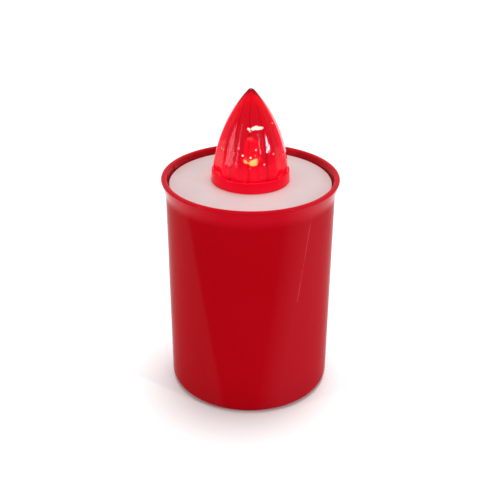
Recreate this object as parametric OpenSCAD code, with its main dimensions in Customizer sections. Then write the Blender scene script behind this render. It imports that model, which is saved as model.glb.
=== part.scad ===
// Battery grave-light candle: a red cup, and an insert that lifts straight out of it with the
// plate, the flame, the electronics and two C cells. Millimetres, +Z up, origin under the cup's middle.

/* [Cup] */
// Height of the cup from its foot to its rim
cup_h = 86.8; // [84:0.2:110]
// Outer diameter of the flared rim
rim_d = 67; // [66:0.5:90]
// How far the rim stands out past the body, on the radius
flare_out = 1.62; // [0.8:0.02:2.4]
// Height of the flared mouth
flare_h = 8.2; // [6:0.2:12]
// Draft of the body from mouth to foot, on the radius
draft = 0.34; // [0:0.02:0.8]
// Thickness of the cup's wall
wall = 2; // [1.6:0.1:2.4]
// Height of the floor's upper face
floor_z = 2.2; // [1.8:0.1:3]
// Height of the recess under the floor, inside the foot ring
foot_recess = 0.8; // [0.2:0.1:1]
// Width of the foot ring
foot_ring_w = 2.6; // [1.5:0.1:5]
// Radius of the round at the foot
foot_round = 3; // [1:0.25:5]
// Thickness of the rim at the top
rim_w = 2.1; // [1.6:0.1:2.8]
// Radius of the rounds on the rim
rim_round = 0.7; // [0.2:0.05:0.8]
// Depth of the ledge that carries the plate, below the rim
ledge_depth = 4.8; // [3.5:0.1:7]

/* [Top plate] */
// Thickness of the plate at its edge
plate_edge_t = 2.5; // [1.5:0.1:3]
// How much the plate's middle stands above its edge
plate_rise = 0.9; // [0:0.1:1.5]
// Gap between the plate's edge and the mouth
plate_gap = 0.3; // [0.3:0.05:0.6]
// Height of the skirt that centres the plate in the cup
skirt_h = 6; // [3:0.5:10]
// Thickness of the skirt
skirt_t = 1.4; // [1:0.1:2]
// Gap between the skirt and the cup's wall
skirt_gap = 0.45; // [0.35:0.05:0.8]
// Diameter of the pillars that carry the cradle
pillar_d = 6.4; // [5:0.2:8]
// Length of the bosses that carry the circuit board
board_boss_l = 5; // [4:0.5:8]

/* [Flame] */
// Outer diameter of the collar at its foot
collar_d = 29.6; // [28:0.2:32]
// Height of the collar above the plate
collar_h = 4.2; // [3:0.2:6]
// Diameter of the flame where it meets the collar
flame_d = 28; // [26:0.2:28.4]
// Height of the flame above the collar
flame_h = 30.8; // [24:0.2:38]
// Radius of the flame's curved flank, in section
flank_r = 54; // [45:1:80]
// Radius of the flame's tip
tip_r = 1.6; // [0.8:0.1:3]
// Thickness of the flame's wall
lens_t = 1.3; // [0.8:0.1:2]

/* [LED and board] */
// Diameter of the LED's body
led_d = 5; // [3:0.5:8]
// Height of the LED's flange above the collar's top edge
led_rise = 3.4; // [1:0.2:8]
// Length of the circuit board
board_l = 38; // [34:1:44]
// Width of the circuit board
board_w = 17; // [14:1:22]
// Thickness of the circuit board
board_t = 1.6; // [0.8:0.1:2]

/* [Cells and cradle] */
// Diameter of a cell over its sleeve
cell_d = 26.2; // [18:0.2:26.6]
// Length of a cell with its button
cell_len = 50; // [40:0.5:52]
// Gap between the two cells, which the cradle's web stands in
cell_gap = 1.4; // [1.2:0.1:2]
// Thickness of the cradle's base and of its top
cradle_t = 2.2; // [1.6:0.1:3]
// Thickness of the cradle's side walls
side_t = 1.5; // [1:0.1:2]
// Angle that each side wall spans
side_angle = 70; // [40:1:76]
// Gap between the cradle and the cup's floor
cradle_gap = 1; // [0.5:0.1:2]
// Height that each contact spring takes up under load
spring_h = 6.4; // [5:0.1:9]

/* [Switch] */
// Distance of the switch in front of the candle's axis
switch_y = 17; // [16.5:0.1:19]
// Travel of the knob from OFF to ON
switch_travel = 3; // [2:0.1:3.4]
// How far the tip of the knob stays above the surface that the candle stands on
knob_tip_z = 1.2; // [0.4:0.1:1.6]
// Length of the window in the cup's floor
window_l = 17; // [12:0.5:18]
// Width of the window in the cup's floor
window_w = 9; // [7:0.5:9]

/* [Hidden] */
$fn = 96;
eps = 0.1; // overrun of cuts past a face

// Cup, on the radius and in height
rim_r = rim_d / 2;
body_top_r = rim_r - flare_out;
body_foot_r = body_top_r - draft;
inner_top_r = body_top_r - wall;
inner_foot_r = body_foot_r - wall;
flare_z = cup_h - flare_h;
flare_power = 1.6; // shape of the bell curve: 1 is a straight cone
flare_steps = 10;
round_steps = 5;
ledge_z = cup_h - ledge_depth;
mouth_top_r = rim_r - rim_w;
mouth_taper = 0.5; // how much the mouth narrows from the rim to the ledge
mouth_foot_r = mouth_top_r - mouth_taper;
nib_angle = -22; // of the first nib; the second stands opposite
nib_span = 5;
nib_gap = 0.15; // radial, to the plate's edge
nib_z = ledge_z + plate_edge_t + 0.3;
nib_h = 0.9;
key_w = 3; // rib that stops the insert from turning
key_l = 10;
key_gap = 0.4;

// Top plate
plate_r = mouth_foot_r - plate_gap;
plate_edge_z = ledge_z + plate_edge_t;
seat_z = plate_edge_z + plate_rise; // flat landing under the collar
seat_r = collar_d / 2 + 0.6;
dome_steps = 8;
under_z = ledge_z + 0.5; // underside of the plate inside the skirt
skirt_r = inner_top_r - skirt_gap;
edge_round = 0.5;
spigot_r = 10.6; // collar's spigot through the plate
spigot_gap = 0.1;
pilot_depth = 10;

// Flame
collar_r = collar_d / 2;
collar_top_z = seat_z + collar_h;
collar_draft = 0.25;
collar_floor_t = 1;
socket_r = flame_d / 2 - 0.5;
socket_gap = 0.05;
spigot_t = 1.2;
lug_count = 3;
lug_h = 1;
lug_out = 0.8;
lug_span = 24;
flame_r = flame_d / 2;
tip_z = collar_top_z + flame_h;
flank_steps = 22;
tip_steps = 5;

// Screws, modelled at their thread's core
screw_gap = 0.05;
board_screw_r = 0.95;
board_screw_l = 5.5;
cradle_screw_r = 1.1;
cradle_screw_l = 10;
switch_screw_r = 0.8;
switch_screw_l = 2.4;
head_ratio = 2.1; // head radius over core radius
head_h_ratio = 1.4;
cross_w_ratio = 0.5; // width of the cross recess
cross_depth_share = 0.5;

// LED and board
led_seat_z = collar_top_z + led_rise;
led_flange_r = led_d / 2 + 0.4;
led_flange_h = 1;
led_body_h = 6.1; // seat to the start of the dome
lead_pitch = 2.54;
lead_w = 0.5;
lead_hole_r = 0.45;
lead_tail = 1.2; // below the board
board_top_z = under_z - board_boss_l;
board_z = board_top_z - board_t;
board_hole_x = board_l / 2 - 3;
post_stem_r = led_flange_r + 0.7;
post_flange_r = 7;
post_flange_h = 1.5;
post_peg_r = 0.9;
post_peg_y = 5.4;
board_boss_r = 2.5;

// Cells and cradle
cell_r = cell_d / 2;
sleeve_t = 0.3;
sleeve_inset = 1;
can_r = cell_r - sleeve_t;
can_bevel = 0.8;
button_r = 3.2;
button_h = 2;
button_round = 0.5;
seal_r = 5.2; // inner edge of the groove round the button
seal_depth = 0.5;
cell_x = (cell_d + cell_gap) / 2;
contact_t = 0.4;
cradle_z = floor_z + cradle_gap;
base_top_z = cradle_z + cradle_t;
bridge_top_z = base_top_z + contact_t;
left_cell_z = bridge_top_z + spring_h;
right_cell_z = bridge_top_z;
contact_z = left_cell_z + cell_len; // underside of the two upper contacts
cradle_top_z = contact_z + contact_t; // underside of the cradle's top
cradle_end_z = cradle_top_z + cradle_t;
cradle_r = cell_x + cell_r + side_t;
side_r = cradle_r - side_t;
web_t = 0.8;
side_step = 0.3; // the side walls stand back from the edge of the base and the top
pillar_x = cell_x;
head_gap = 0.62; // from a cradle screw's head to the side wall
pillar_y = sqrt(pow(side_r - cradle_screw_r * head_ratio - head_gap, 2) - pow(pillar_x, 2));
driver_hole_r = 2.8;
contact_w = 8;
contact_l = 10;
tab_w = 3;
tab_h = 5;
tab_y = contact_w / 2;
slot_gap = 0.3;
spring_wire_r = 0.45;
spring_wide_r = 5.4;
spring_narrow_r = 3;
spring_turns = 3.5;
spring_rings = 64;
wire_notch_y = side_r - 3.9;
wire_notch_w = 6;
wire_notch_l = 4.2;
wire_room_h = 12; // above the switch's pins

// Switch
frame_t = 0.5;
frame_l = 11;
frame_w = 6;
frame_h = 5;
ear_l = 20;
ear_hole_x = 7.6;
cavity_wall = 0.4;
switch_base_t = 1.4;
fit_gap = 0.05;
slide_gap = 0.1;
knob_w = 3;
knob_l = 3.2;
slider_l = 5.4;
slider_w = 4.6;
slider_h = 2.2;
knob_round = 0.6;
stem_slot_gap = 0.3;
pin_pitch = 2.5;
pin_w = 0.8;
pin_t = 0.4;
pin_tail = 3.6;
pin_dip = 0.3;
wiper_t = 0.25;
wiper_l = 5;
wiper_w = 2.4;
bump_r = 0.3;
frame_top_z = base_top_z + frame_h;
cavity_z = base_top_z + frame_t;
slider_z = cavity_z + slide_gap;
slider_top_z = slider_z + slider_h;
pin_top_z = frame_top_z + pin_tail;
pin_bottom_z = frame_top_z - switch_base_t - pin_dip;
wire_room_z = pin_top_z + wire_room_h;

// Wires
wire_r = 0.65;
wire_sides = 8;
wire_steps = 5; // rings between two points of a route
tab_top_z = cradle_end_z + tab_h - cradle_t;
wire_board_x = 11;
wire_board_y = 5.5;
red_route = [
    [-cell_x, tab_y + pin_t + 0.3, tab_top_z - 1],
    [-cell_x, tab_y + 3, tab_top_z - 1],
    [-cell_x - 1, tab_y + 4.5, (tab_top_z + board_z) / 2],
    [-wire_board_x - 1, wire_board_y + 1, board_z - 2.5],
    [-wire_board_x, wire_board_y, board_z - 1.2],
    [-wire_board_x, wire_board_y, board_z]
];
white_route = [
    [cell_x, -tab_y - pin_t - 0.3, tab_top_z - 1],
    [cell_x, -tab_y - 3, tab_top_z - 1],
    [cell_x - 3, -tab_y - 8, tab_top_z + 0.5],
    [5, -wire_notch_y + 2, tab_top_z],
    [1.6, -wire_notch_y, cradle_end_z],
    [1.4, -wire_notch_y, cradle_top_z - 5],
    [1.6, -wire_notch_y, (cradle_top_z + base_top_z) / 2],
    [2.2, -wire_notch_y + 1, pin_top_z + 8],
    [pin_pitch, -switch_y - 1.2, pin_top_z + 3],
    [pin_pitch, -switch_y, pin_top_z + 1.2],
    [pin_pitch, -switch_y, pin_top_z]
];
black_route = [
    [0, -switch_y, pin_top_z],
    [0, -switch_y, pin_top_z + 1.2],
    [-0.4, -switch_y - 1.4, pin_top_z + 4],
    [-1.2, -wire_notch_y + 1, pin_top_z + 9],
    [-1.6, -wire_notch_y, (cradle_top_z + base_top_z) / 2 + 2],
    [-1.4, -wire_notch_y, cradle_top_z - 6],
    [-1.6, -wire_notch_y, cradle_end_z],
    [-2.4, -wire_notch_y + 3, tab_top_z + 0.5],
    [-3, -wire_board_y - 6, board_z - 3.5],
    [-2.4, -wire_board_y - 1, board_z - 2.2],
    [-2, -wire_board_y, board_z - 1.2],
    [-2, -wire_board_y, board_z]
];

// Points of an arc about a centre, from one angle to another
function arc(centre, r, from, to, steps) = [
    for (i = [0:steps])
        let (a = from + (to - from) * i / steps)
        centre + r * [cos(a), sin(a)]
];

// Sweeping a round section along a route
function unit(v) = v / norm(v);
function tangent(p, i) = unit(p[min(i + 1, len(p) - 1)] - p[max(i - 1, 0)]);
function squared(n, t) = unit(n - (n * t) * t);
function normals(p, first) = [
    for (i = 0, n = squared(first, tangent(p, 0)); i < len(p); i = i + 1,
        n = squared(n, tangent(p, min(i, len(p) - 1)))) n
];
function ring(centre, n, b, r, sides) = [
    for (k = [0:sides - 1]) centre + r * (cos(360 * k / sides) * n + sin(360 * k / sides) * b)
];
// Smooth curve through the points of a route, with its first and last stretch left straight
function spline(p, i, u) =
    let (
        a = p[max(i - 1, 0)],
        b = p[i],
        c = p[i + 1],
        d = p[min(i + 2, len(p) - 1)]
    )
    (2 * b + u * (c - a) + u * u * (2 * a - 5 * b + 4 * c - d)
        + u * u * u * (3 * b - a - 3 * c + d)) / 2;
function smooth(p, steps) = concat(
    [p[0]],
    [for (i = [1:len(p) - 3]) for (s = [0:steps - 1]) spline(p, i, s / steps)],
    [p[len(p) - 2], p[len(p) - 1]]
);

module swept(p, r, first, sides) {
    ns = normals(p, first);
    last = (len(p) - 1) * sides;
    points = [
        for (i = [0:len(p) - 1])
            let (t = tangent(p, i))
            for (q = ring(p[i], ns[i], cross(t, ns[i]), r, sides)) q
    ];
    ends = [
        [for (k = [0:sides - 1]) k],
        [for (k = [sides - 1:-1:0]) last + k]
    ];
    skin = [
        for (i = [0:len(p) - 2])
            for (k = [0:sides - 1])
                let (a = i * sides + k, b = i * sides + (k + 1) % sides)
                for (f = [[a, a + sides, b], [b, a + sides, b + sides]]) f
    ];
    polyhedron(points = points, faces = concat(ends, skin), convexity = 10);
}

// Cylinder with its middle on a point, in the plane z = from
module post(x, y, from, to, r) {
    translate([x, y, from]) cylinder(r = r, h = to - from);
}

module box(x, y, z) {
    translate([-x / 2, -y / 2, 0]) cube([x, y, z]);
}

// Pan head screw pointing up, its head's seat at z = 0
module screw(core_r, length) {
    head_r = core_r * head_ratio;
    head_h = core_r * head_h_ratio;
    recess = head_h * cross_depth_share;
    difference() {
        rotate_extrude() polygon(concat(
            [[0, -head_h]],
            arc([head_r - head_h * 0.6, -head_h * 0.4], head_h * 0.6, -90, 0, round_steps),
            [[head_r, 0], [core_r, 0], [core_r, length - core_r], [core_r * 0.3, length], [0, length]]
        ));
        for (turn = [0, 90])
            rotate([0, 0, turn])
            translate([0, 0, -head_h - eps])
            box(head_r * 1.2, core_r * cross_w_ratio, recess + eps);
    }
}

// Cup: one turned wall with floor, foot ring, ledge and rim, then nibs, key rib and window
module cup_profile() {
    polygon(concat(
        [[0, foot_recess], [body_foot_r - foot_round - foot_ring_w, foot_recess]],
        [[body_foot_r - foot_round - foot_ring_w, 0]],
        arc([body_foot_r - foot_round, foot_round], foot_round, -90, 0, round_steps),
        [for (i = [0:flare_steps])
            [body_top_r + flare_out * pow(i / flare_steps, flare_power),
                flare_z + (flare_h - rim_round) * i / flare_steps]],
        arc([rim_r - rim_round, cup_h - rim_round], rim_round, 18, 90, round_steps),
        arc([mouth_top_r + rim_round, cup_h - rim_round], rim_round, 90, 180, round_steps),
        [[mouth_foot_r, ledge_z], [inner_top_r, ledge_z], [inner_foot_r, floor_z + rim_round]],
        [[inner_foot_r - rim_round, floor_z], [0, floor_z]]
    ));
}

module nib() {
    nib_r = plate_r + nib_gap;
    rotate([0, 0, -nib_span / 2])
    rotate_extrude(angle = nib_span)
    polygon([
        [nib_r, nib_z],
        [mouth_top_r + rim_round, nib_z],
        [mouth_top_r + rim_round, nib_z + nib_h],
        [nib_r + nib_h / 2, nib_z + nib_h]
    ]);
}

module switch_window() {
    side = (window_l - window_w) / 2;
    translate([0, -switch_y, -eps]) {
        box(window_l - window_w, window_w, floor_z + 2 * eps);
        for (x = [-side, side])
            translate([x, 0, 0]) cylinder(d = window_w, h = floor_z + 2 * eps);
    }
}

module cup() {
    key_r = cradle_r + key_gap;
    color("crimson")
    difference() {
        union() {
            rotate_extrude() cup_profile();
            for (turn = [0, 180]) rotate([0, 0, nib_angle + turn]) nib();
            intersection() {
                translate([0, inner_top_r, ledge_z - key_l]) box(key_w, 2 * wall, key_l);
                difference() {
                    cylinder(r = inner_top_r + wall / 2, h = ledge_z);
                    translate([0, 0, -eps])
                        cylinder(r = max(key_r, skirt_r - skirt_t), h = ledge_z + 2 * eps);
                }
            }
        }
        switch_window();
    }
}

// Top plate: domed disc with a flat landing for the collar, skirt, pillars and bosses
module plate_profile() {
    hole_r = spigot_r + spigot_gap;
    dome = [
        for (i = [0:dome_steps])
            let (t = i / dome_steps)
            [seat_r + (plate_r - edge_round - seat_r) * t, seat_z - plate_rise * t * t]
    ];
    polygon(concat(
        [[hole_r, seat_z]],
        dome,
        arc([plate_r - edge_round, plate_edge_z - edge_round], edge_round, 90, 0, round_steps),
        [[plate_r, ledge_z], [skirt_r, ledge_z], [skirt_r, ledge_z - skirt_h]],
        [[skirt_r - skirt_t, ledge_z - skirt_h], [skirt_r - skirt_t, under_z], [hole_r, under_z]]
    ));
}

module top_plate() {
    color("mistyrose")
    difference() {
        union() {
            rotate_extrude() plate_profile();
            for (x = [-pillar_x, pillar_x], y = [-pillar_y, pillar_y])
                post(x, y, cradle_end_z, under_z + eps, pillar_d / 2);
            for (x = [-board_hole_x, board_hole_x])
                post(x, 0, board_top_z, under_z + eps, board_boss_r);
        }
        translate([0, skirt_r, ledge_z - skirt_h - eps])
            box(key_w + 2 * key_gap, 4 * skirt_t, skirt_h + eps);
        for (x = [-pillar_x, pillar_x], y = [-pillar_y, pillar_y])
            post(x, y, cradle_end_z - eps, cradle_end_z + pilot_depth, cradle_screw_r + screw_gap);
        for (x = [-board_hole_x, board_hole_x])
            post(x, 0, board_top_z - eps, under_z, board_screw_r + screw_gap);
    }
}

// Collar: ring with a socket for the lens, and a spigot whose lugs snap under the plate
module flame_collar() {
    color("red")
    union() {
        rotate_extrude()
        polygon([
            [spigot_r - spigot_t, under_z - spigot_t],
            [spigot_r, under_z - spigot_t],
            [spigot_r, seat_z],
            [collar_r, seat_z],
            [collar_r - collar_draft, collar_top_z],
            [socket_r, collar_top_z],
            [socket_r, seat_z + collar_floor_t],
            [spigot_r - spigot_t, seat_z + collar_floor_t]
        ]);
        for (i = [0:lug_count - 1])
            rotate([0, 0, 30 + 360 * i / lug_count - lug_span / 2])
            rotate_extrude(angle = lug_span)
            polygon([
                [spigot_r - spigot_t / 2, under_z - lug_h],
                [spigot_r + lug_out / 4, under_z - lug_h],
                [spigot_r + lug_out, under_z],
                [spigot_r - spigot_t / 2, under_z]
            ]);
    }
}

// Flame: the flank is one arc from the collar to a small round tip that it runs into smoothly.
// The arc's centre lies a flank radius from the foot and less the tip's radius from the tip's centre.
foot_point = [flame_r, collar_top_z];
tip_centre = [0, tip_z - tip_r];
foot_to_tip = tip_centre - foot_point;
span = norm(foot_to_tip);
along = (flank_r * flank_r - pow(flank_r - tip_r, 2) + span * span) / (2 * span);
across = sqrt(flank_r * flank_r - along * along);
across_dir = [-foot_to_tip[1], foot_to_tip[0]] / span;
flank_centre = foot_point + along * foot_to_tip / span + across * across_dir;
foot_angle = atan2(foot_point[1] - flank_centre[1], foot_point[0] - flank_centre[0]);
tip_angle = atan2(tip_centre[1] - flank_centre[1], tip_centre[0] - flank_centre[0]);
inner_tip_z = flank_centre[1] + sqrt(pow(flank_r - lens_t, 2) - pow(flank_centre[0], 2));
inner_tip_angle = atan2(inner_tip_z - flank_centre[1], -flank_centre[0]);

module flame_lens() {
    skirt_out_r = socket_r - socket_gap;
    bottom_z = seat_z + collar_floor_t;
    outer = arc(flank_centre, flank_r, foot_angle, tip_angle, flank_steps);
    inner = arc(flank_centre, flank_r - lens_t, inner_tip_angle, foot_angle, flank_steps);
    color("red", 0.6)
    rotate_extrude()
    polygon(concat(
        [[skirt_out_r - lens_t, bottom_z], [skirt_out_r, bottom_z], [skirt_out_r, collar_top_z]],
        outer,
        arc(tip_centre, tip_r, tip_angle, 90, tip_steps),
        inner
    ));
}

// LED with its legs, and the post that lifts it into the flame
module led() {
    color("white", 0.8)
    difference() {
        rotate_extrude()
        polygon(concat(
            [[0, led_seat_z], [led_flange_r, led_seat_z], [led_flange_r, led_seat_z + led_flange_h]],
            [[led_d / 2, led_seat_z + led_flange_h]],
            arc([0, led_seat_z + led_body_h], led_d / 2, 0, 90, 2 * round_steps)
        ));
        translate([led_d / 2 + 0.1, -led_d, led_seat_z - eps])
            cube([led_d, 2 * led_d, led_flange_h + 2 * eps]);
    }
}

module led_leads() {
    color("silver")
    for (x = [-lead_pitch / 2, lead_pitch / 2])
        translate([x, 0, board_z - lead_tail])
        box(lead_w, lead_w, led_seat_z - board_z + lead_tail);
}

module led_post() {
    color("white")
    difference() {
        union() {
            post(0, 0, board_top_z, board_top_z + post_flange_h, post_flange_r);
            post(0, 0, board_top_z, led_seat_z, post_stem_r);
            for (y = [-post_peg_y, post_peg_y])
                post(0, y, board_z, board_top_z + eps, post_peg_r);
        }
        for (x = [-lead_pitch / 2, lead_pitch / 2])
            post(x, 0, board_top_z - eps, led_seat_z + eps, lead_hole_r);
    }
}

// Circuit board with screw holes, peg holes and lead holes
module circuit_board() {
    color("darkgreen")
    difference() {
        translate([0, 0, board_z]) box(board_l, board_w, board_t);
        for (x = [-board_hole_x, board_hole_x])
            post(x, 0, board_z - eps, board_top_z + eps, board_screw_r + 3 * screw_gap);
        for (y = [-post_peg_y, post_peg_y])
            post(0, y, board_z - eps, board_top_z + eps, post_peg_r + screw_gap);
        for (x = [-lead_pitch / 2, lead_pitch / 2])
            post(x, 0, board_z - eps, board_top_z + eps, lead_hole_r);
    }
}

module board_screws() {
    color("silver")
    for (x = [-board_hole_x, board_hole_x])
        translate([x, 0, board_z]) screw(board_screw_r, board_screw_l);
}

// Eight-legged driver chip under the board
chip_l = 4.9;
chip_w = 3.9;
chip_h = 1.4;
chip_x = 8;
chip_y = 3.5;
chip_legs = 4; // on each side
leg_pitch = 1.27;
leg_w = 0.4;
leg_t = 0.2;
leg_out = 1;
standoff = 0.15;
module flicker_chip() {
    color("dimgray")
    translate([chip_x, chip_y, board_z]) {
        translate([0, 0, -chip_h - standoff]) box(chip_l, chip_w, chip_h);
        for (i = [0:chip_legs - 1], side = [-1, 1])
            translate([(i - (chip_legs - 1) / 2) * leg_pitch, side * (chip_w + leg_out) / 2, 0]) {
                translate([0, side * leg_out / 4, -leg_t]) box(leg_w, leg_out / 2, leg_t);
                translate([0, -side * leg_t / 2, -chip_h / 2]) box(leg_w, leg_t, chip_h / 2);
                translate([0, -side * leg_out / 4, -chip_h / 2]) box(leg_w, leg_out / 2 + eps, leg_t);
            }
    }
}

// Axial resistor lying under the board, its legs bent up into it
resistor_r = 1.15;
resistor_l = 6.2;
resistor_x = -9;
resistor_y = -3.5;
resistor_leg_r = 0.28;
resistor_drop = 1.6;
resistor_waist = 0.2;
module resistor() {
    reach = resistor_l / 2 + 1.2;
    color("tan")
    translate([resistor_x, resistor_y, board_z - resistor_drop]) {
        rotate([0, 90, 0])
        translate([0, 0, -resistor_l / 2])
        rotate_extrude()
        polygon(concat(
            [[0, 0]],
            arc([resistor_r - 0.5, 0.5], 0.5, -90, 0, round_steps),
            [[resistor_r, 1.5], [resistor_r - resistor_waist, 2]],
            [[resistor_r - resistor_waist, resistor_l - 2], [resistor_r, resistor_l - 1.5]],
            arc([resistor_r - 0.5, resistor_l - 0.5], 0.5, 0, 90, round_steps),
            [[0, resistor_l]]
        ));
        rotate([0, 90, 0])
            translate([0, 0, -reach]) cylinder(r = resistor_leg_r, h = 2 * reach, $fn = 24);
        for (x = [-reach, reach]) {
            translate([x, 0, 0]) cylinder(r = resistor_leg_r, h = resistor_drop, $fn = 24);
            translate([x, 0, 0]) sphere(r = resistor_leg_r, $fn = 24);
        }
    }
}

// Small electrolytic capacitor hanging under the board
cap_r = 2.5;
cap_h = 6.5;
cap_x = 8.6;
cap_y = -4.4;
cap_leg_r = 0.25;
cap_gap = 0.6;
module capacitor() {
    color("darkslateblue")
    translate([cap_x, cap_y, board_z - cap_gap - cap_h]) {
        rotate_extrude()
        polygon([
            [0, 0], [cap_r - 0.4, 0], [cap_r, 0.4],
            [cap_r, cap_h - 1.6], [cap_r - 0.3, cap_h - 1.2], [cap_r, cap_h - 0.8],
            [cap_r, cap_h], [0, cap_h]
        ]);
        for (x = [-1, 1])
            translate([x, 0, cap_h - eps]) cylinder(r = cap_leg_r, h = cap_gap + eps, $fn = 24);
    }
}

// Cradle: base and top joined by a web between the cells and two side walls, open at the sides
module battery_cradle() {
    inner_h = cradle_end_z - cradle_z;
    color([0.16, 0.16, 0.17])
    difference() {
        union() {
            post(0, 0, cradle_z, base_top_z, cradle_r);
            post(0, 0, cradle_top_z, cradle_end_z, cradle_r);
            translate([0, 0, cradle_z]) box(web_t, 2 * side_r + side_t, inner_h);
            for (turn = [90, 270])
                rotate([0, 0, turn - side_angle / 2])
                rotate_extrude(angle = side_angle)
                translate([side_r, cradle_z]) square([side_t - side_step, inner_h]);
        }
        // screws that hold the cradle, and the holes that a driver reaches them through
        for (x = [-pillar_x, pillar_x], y = [-pillar_y, pillar_y]) {
            post(x, y, cradle_top_z - eps, cradle_end_z + eps, cradle_screw_r + 3 * screw_gap);
            post(x, y, cradle_z - eps, base_top_z + eps, driver_hole_r);
        }
        // bridge under the web, and slots for the tabs of the upper contacts
        translate([0, 0, base_top_z]) box(4 * web_t, contact_w + 2 * slot_gap, contact_t + slot_gap);
        for (side = [-1, 1])
            translate([side * cell_x, -side * (tab_y - contact_t / 2), cradle_top_z - eps])
            box(tab_w + 2 * slot_gap, contact_t + 2 * slot_gap, cradle_t + 2 * eps);
        // room for the switch with the wires above it, for its stem and for its screws
        translate([0, -switch_y, base_top_z])
            box(ear_l + 2 * slot_gap, frame_w + 2 * slot_gap, wire_room_z - base_top_z);
        translate([0, -switch_y, cradle_z - eps])
            box(knob_l + switch_travel + 4 * stem_slot_gap, knob_w + 4 * stem_slot_gap, cradle_t + 2 * eps);
        for (x = [-ear_hole_x, ear_hole_x])
            post(x, -switch_y, cradle_z - eps, base_top_z + eps, switch_screw_r + screw_gap);
        // wires run down beside the web and leave through the top
        translate([0, -wire_notch_y, cradle_top_z - eps])
            box(wire_notch_w, wire_notch_l, cradle_t + 2 * eps);
        translate([0, -(wire_notch_y + switch_y) / 2, base_top_z])
            box(wire_notch_w, wire_notch_y - switch_y + wire_notch_l, wire_room_z - base_top_z);
    }
}

module cradle_screws() {
    color("silver")
    for (x = [-pillar_x, pillar_x], y = [-pillar_y, pillar_y])
        translate([x, y, cradle_top_z]) screw(cradle_screw_r, cradle_screw_l);
}

// A cell stands on its flat end; the button is at cell_len
module cell_can() {
    shoulder_z = cell_len - button_h;
    rotate_extrude()
    polygon(concat(
        [[0, 0], [can_r - can_bevel, 0], [can_r, can_bevel], [can_r, shoulder_z - can_bevel]],
        [[can_r - can_bevel, shoulder_z], [seal_r + seal_depth, shoulder_z]],
        [[seal_r, shoulder_z - seal_depth], [button_r, shoulder_z - seal_depth]],
        arc([button_r - button_round, cell_len - button_round], button_round, 0, 90, round_steps),
        [[0, cell_len]]
    ));
}

module cell_sleeve() {
    rotate_extrude()
    polygon([
        [can_r, sleeve_inset],
        [cell_r - sleeve_t / 2, sleeve_inset],
        [cell_r, sleeve_inset + sleeve_t / 2],
        [cell_r, cell_len - button_h - sleeve_inset - sleeve_t / 2],
        [cell_r - sleeve_t / 2, cell_len - button_h - sleeve_inset],
        [can_r, cell_len - button_h - sleeve_inset]
    ]);
}

module left_cell_place() {
    translate([-cell_x, 0, left_cell_z]) children();
}

module right_cell_place() {
    translate([cell_x, 0, right_cell_z + cell_len]) rotate([180, 0, 0]) children();
}

module cell_left() {
    color("silver") left_cell_place() cell_can();
}

module cell_left_sleeve() {
    color("royalblue") left_cell_place() cell_sleeve();
}

module cell_right() {
    color("silver") right_cell_place() cell_can();
}

module cell_right_sleeve() {
    color("royalblue") right_cell_place() cell_sleeve();
}

// Contacts
module bridge_plate() {
    reach = cell_x + contact_l / 2;
    color("lightgray")
    translate([0, 0, base_top_z]) {
        box(2 * (reach - contact_w / 2), contact_w, contact_t);
        for (x = [-reach + contact_w / 2, reach - contact_w / 2])
            translate([x, 0, 0]) cylinder(d = contact_w, h = contact_t);
    }
}

module upper_contact(side) {
    translate([side * cell_x, 0, contact_z]) {
        box(contact_l, contact_w, contact_t);
        translate([0, -side * (tab_y - contact_t / 2), 0]) box(tab_w, contact_t, tab_h);
    }
}

module positive_contact() {
    color("lightgray") upper_contact(-1);
}

module negative_contact() {
    color("lightgray") upper_contact(1);
}

// Conical spring from its wide end at z = 0 to its narrow end, with flat first and last turns
module contact_spring() {
    rise = spring_h - 2 * spring_wire_r;
    flat_share = 0.14;
    path = [
        for (i = [0:spring_rings])
            let (
                u = i / spring_rings,
                a = 360 * spring_turns * u,
                r = spring_wide_r + (spring_narrow_r - spring_wide_r) * u,
                lift = min(1, max(0, (u - flat_share) / (1 - 2 * flat_share)))
            )
            [r * cos(a), r * sin(a), spring_wire_r + rise * lift]
    ];
    swept(path, spring_wire_r, [1, 0, 0], wire_sides);
}

module bridge_spring() {
    color("silver")
    translate([-cell_x, 0, bridge_top_z]) contact_spring();
}

module negative_spring() {
    color("silver")
    translate([cell_x, 0, contact_z]) rotate([180, 0, 0]) contact_spring();
}

// Slide switch: steel frame, insulating base with three pins, knob with its wiper
module switch_place() {
    translate([0, -switch_y, 0]) children();
}

module switch_frame() {
    color("silver")
    switch_place()
    difference() {
        translate([0, 0, base_top_z]) {
            box(ear_l, frame_w, frame_t);
            box(frame_l, frame_w, frame_h);
        }
        translate([0, 0, cavity_z])
            box(frame_l - 2 * cavity_wall, frame_w - 2 * cavity_wall, frame_h);
        translate([0, 0, base_top_z - eps])
            box(knob_l + switch_travel + 2 * stem_slot_gap, knob_w + 2 * stem_slot_gap, frame_t + 2 * eps);
        for (x = [-ear_hole_x, ear_hole_x])
            post(x, 0, base_top_z - eps, cavity_z + eps, switch_screw_r + 3 * screw_gap);
    }
}

module switch_base() {
    color("saddlebrown")
    switch_place()
    difference() {
        translate([0, 0, frame_top_z - switch_base_t])
            box(frame_l - 2 * (cavity_wall + fit_gap), frame_w - 2 * (cavity_wall + fit_gap), switch_base_t);
        for (i = [-1:1])
            translate([i * pin_pitch, 0, frame_top_z - switch_base_t - eps])
            box(pin_w, pin_t, switch_base_t + 2 * eps);
    }
}

module switch_pins() {
    color("gold")
    switch_place()
    for (i = [-1:1])
        translate([i * pin_pitch, 0, pin_bottom_z]) box(pin_w, pin_t, pin_top_z - pin_bottom_z);
}

module switch_screws() {
    color("silver")
    for (x = [-ear_hole_x, ear_hole_x])
        translate([x, -switch_y, cavity_z])
        rotate([180, 0, 0])
        screw(switch_screw_r, switch_screw_l);
}

// The knob stands at ON, half the travel to the right of the switch's middle
module knob_place() {
    translate([switch_travel / 2, -switch_y, 0]) children();
}

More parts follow.
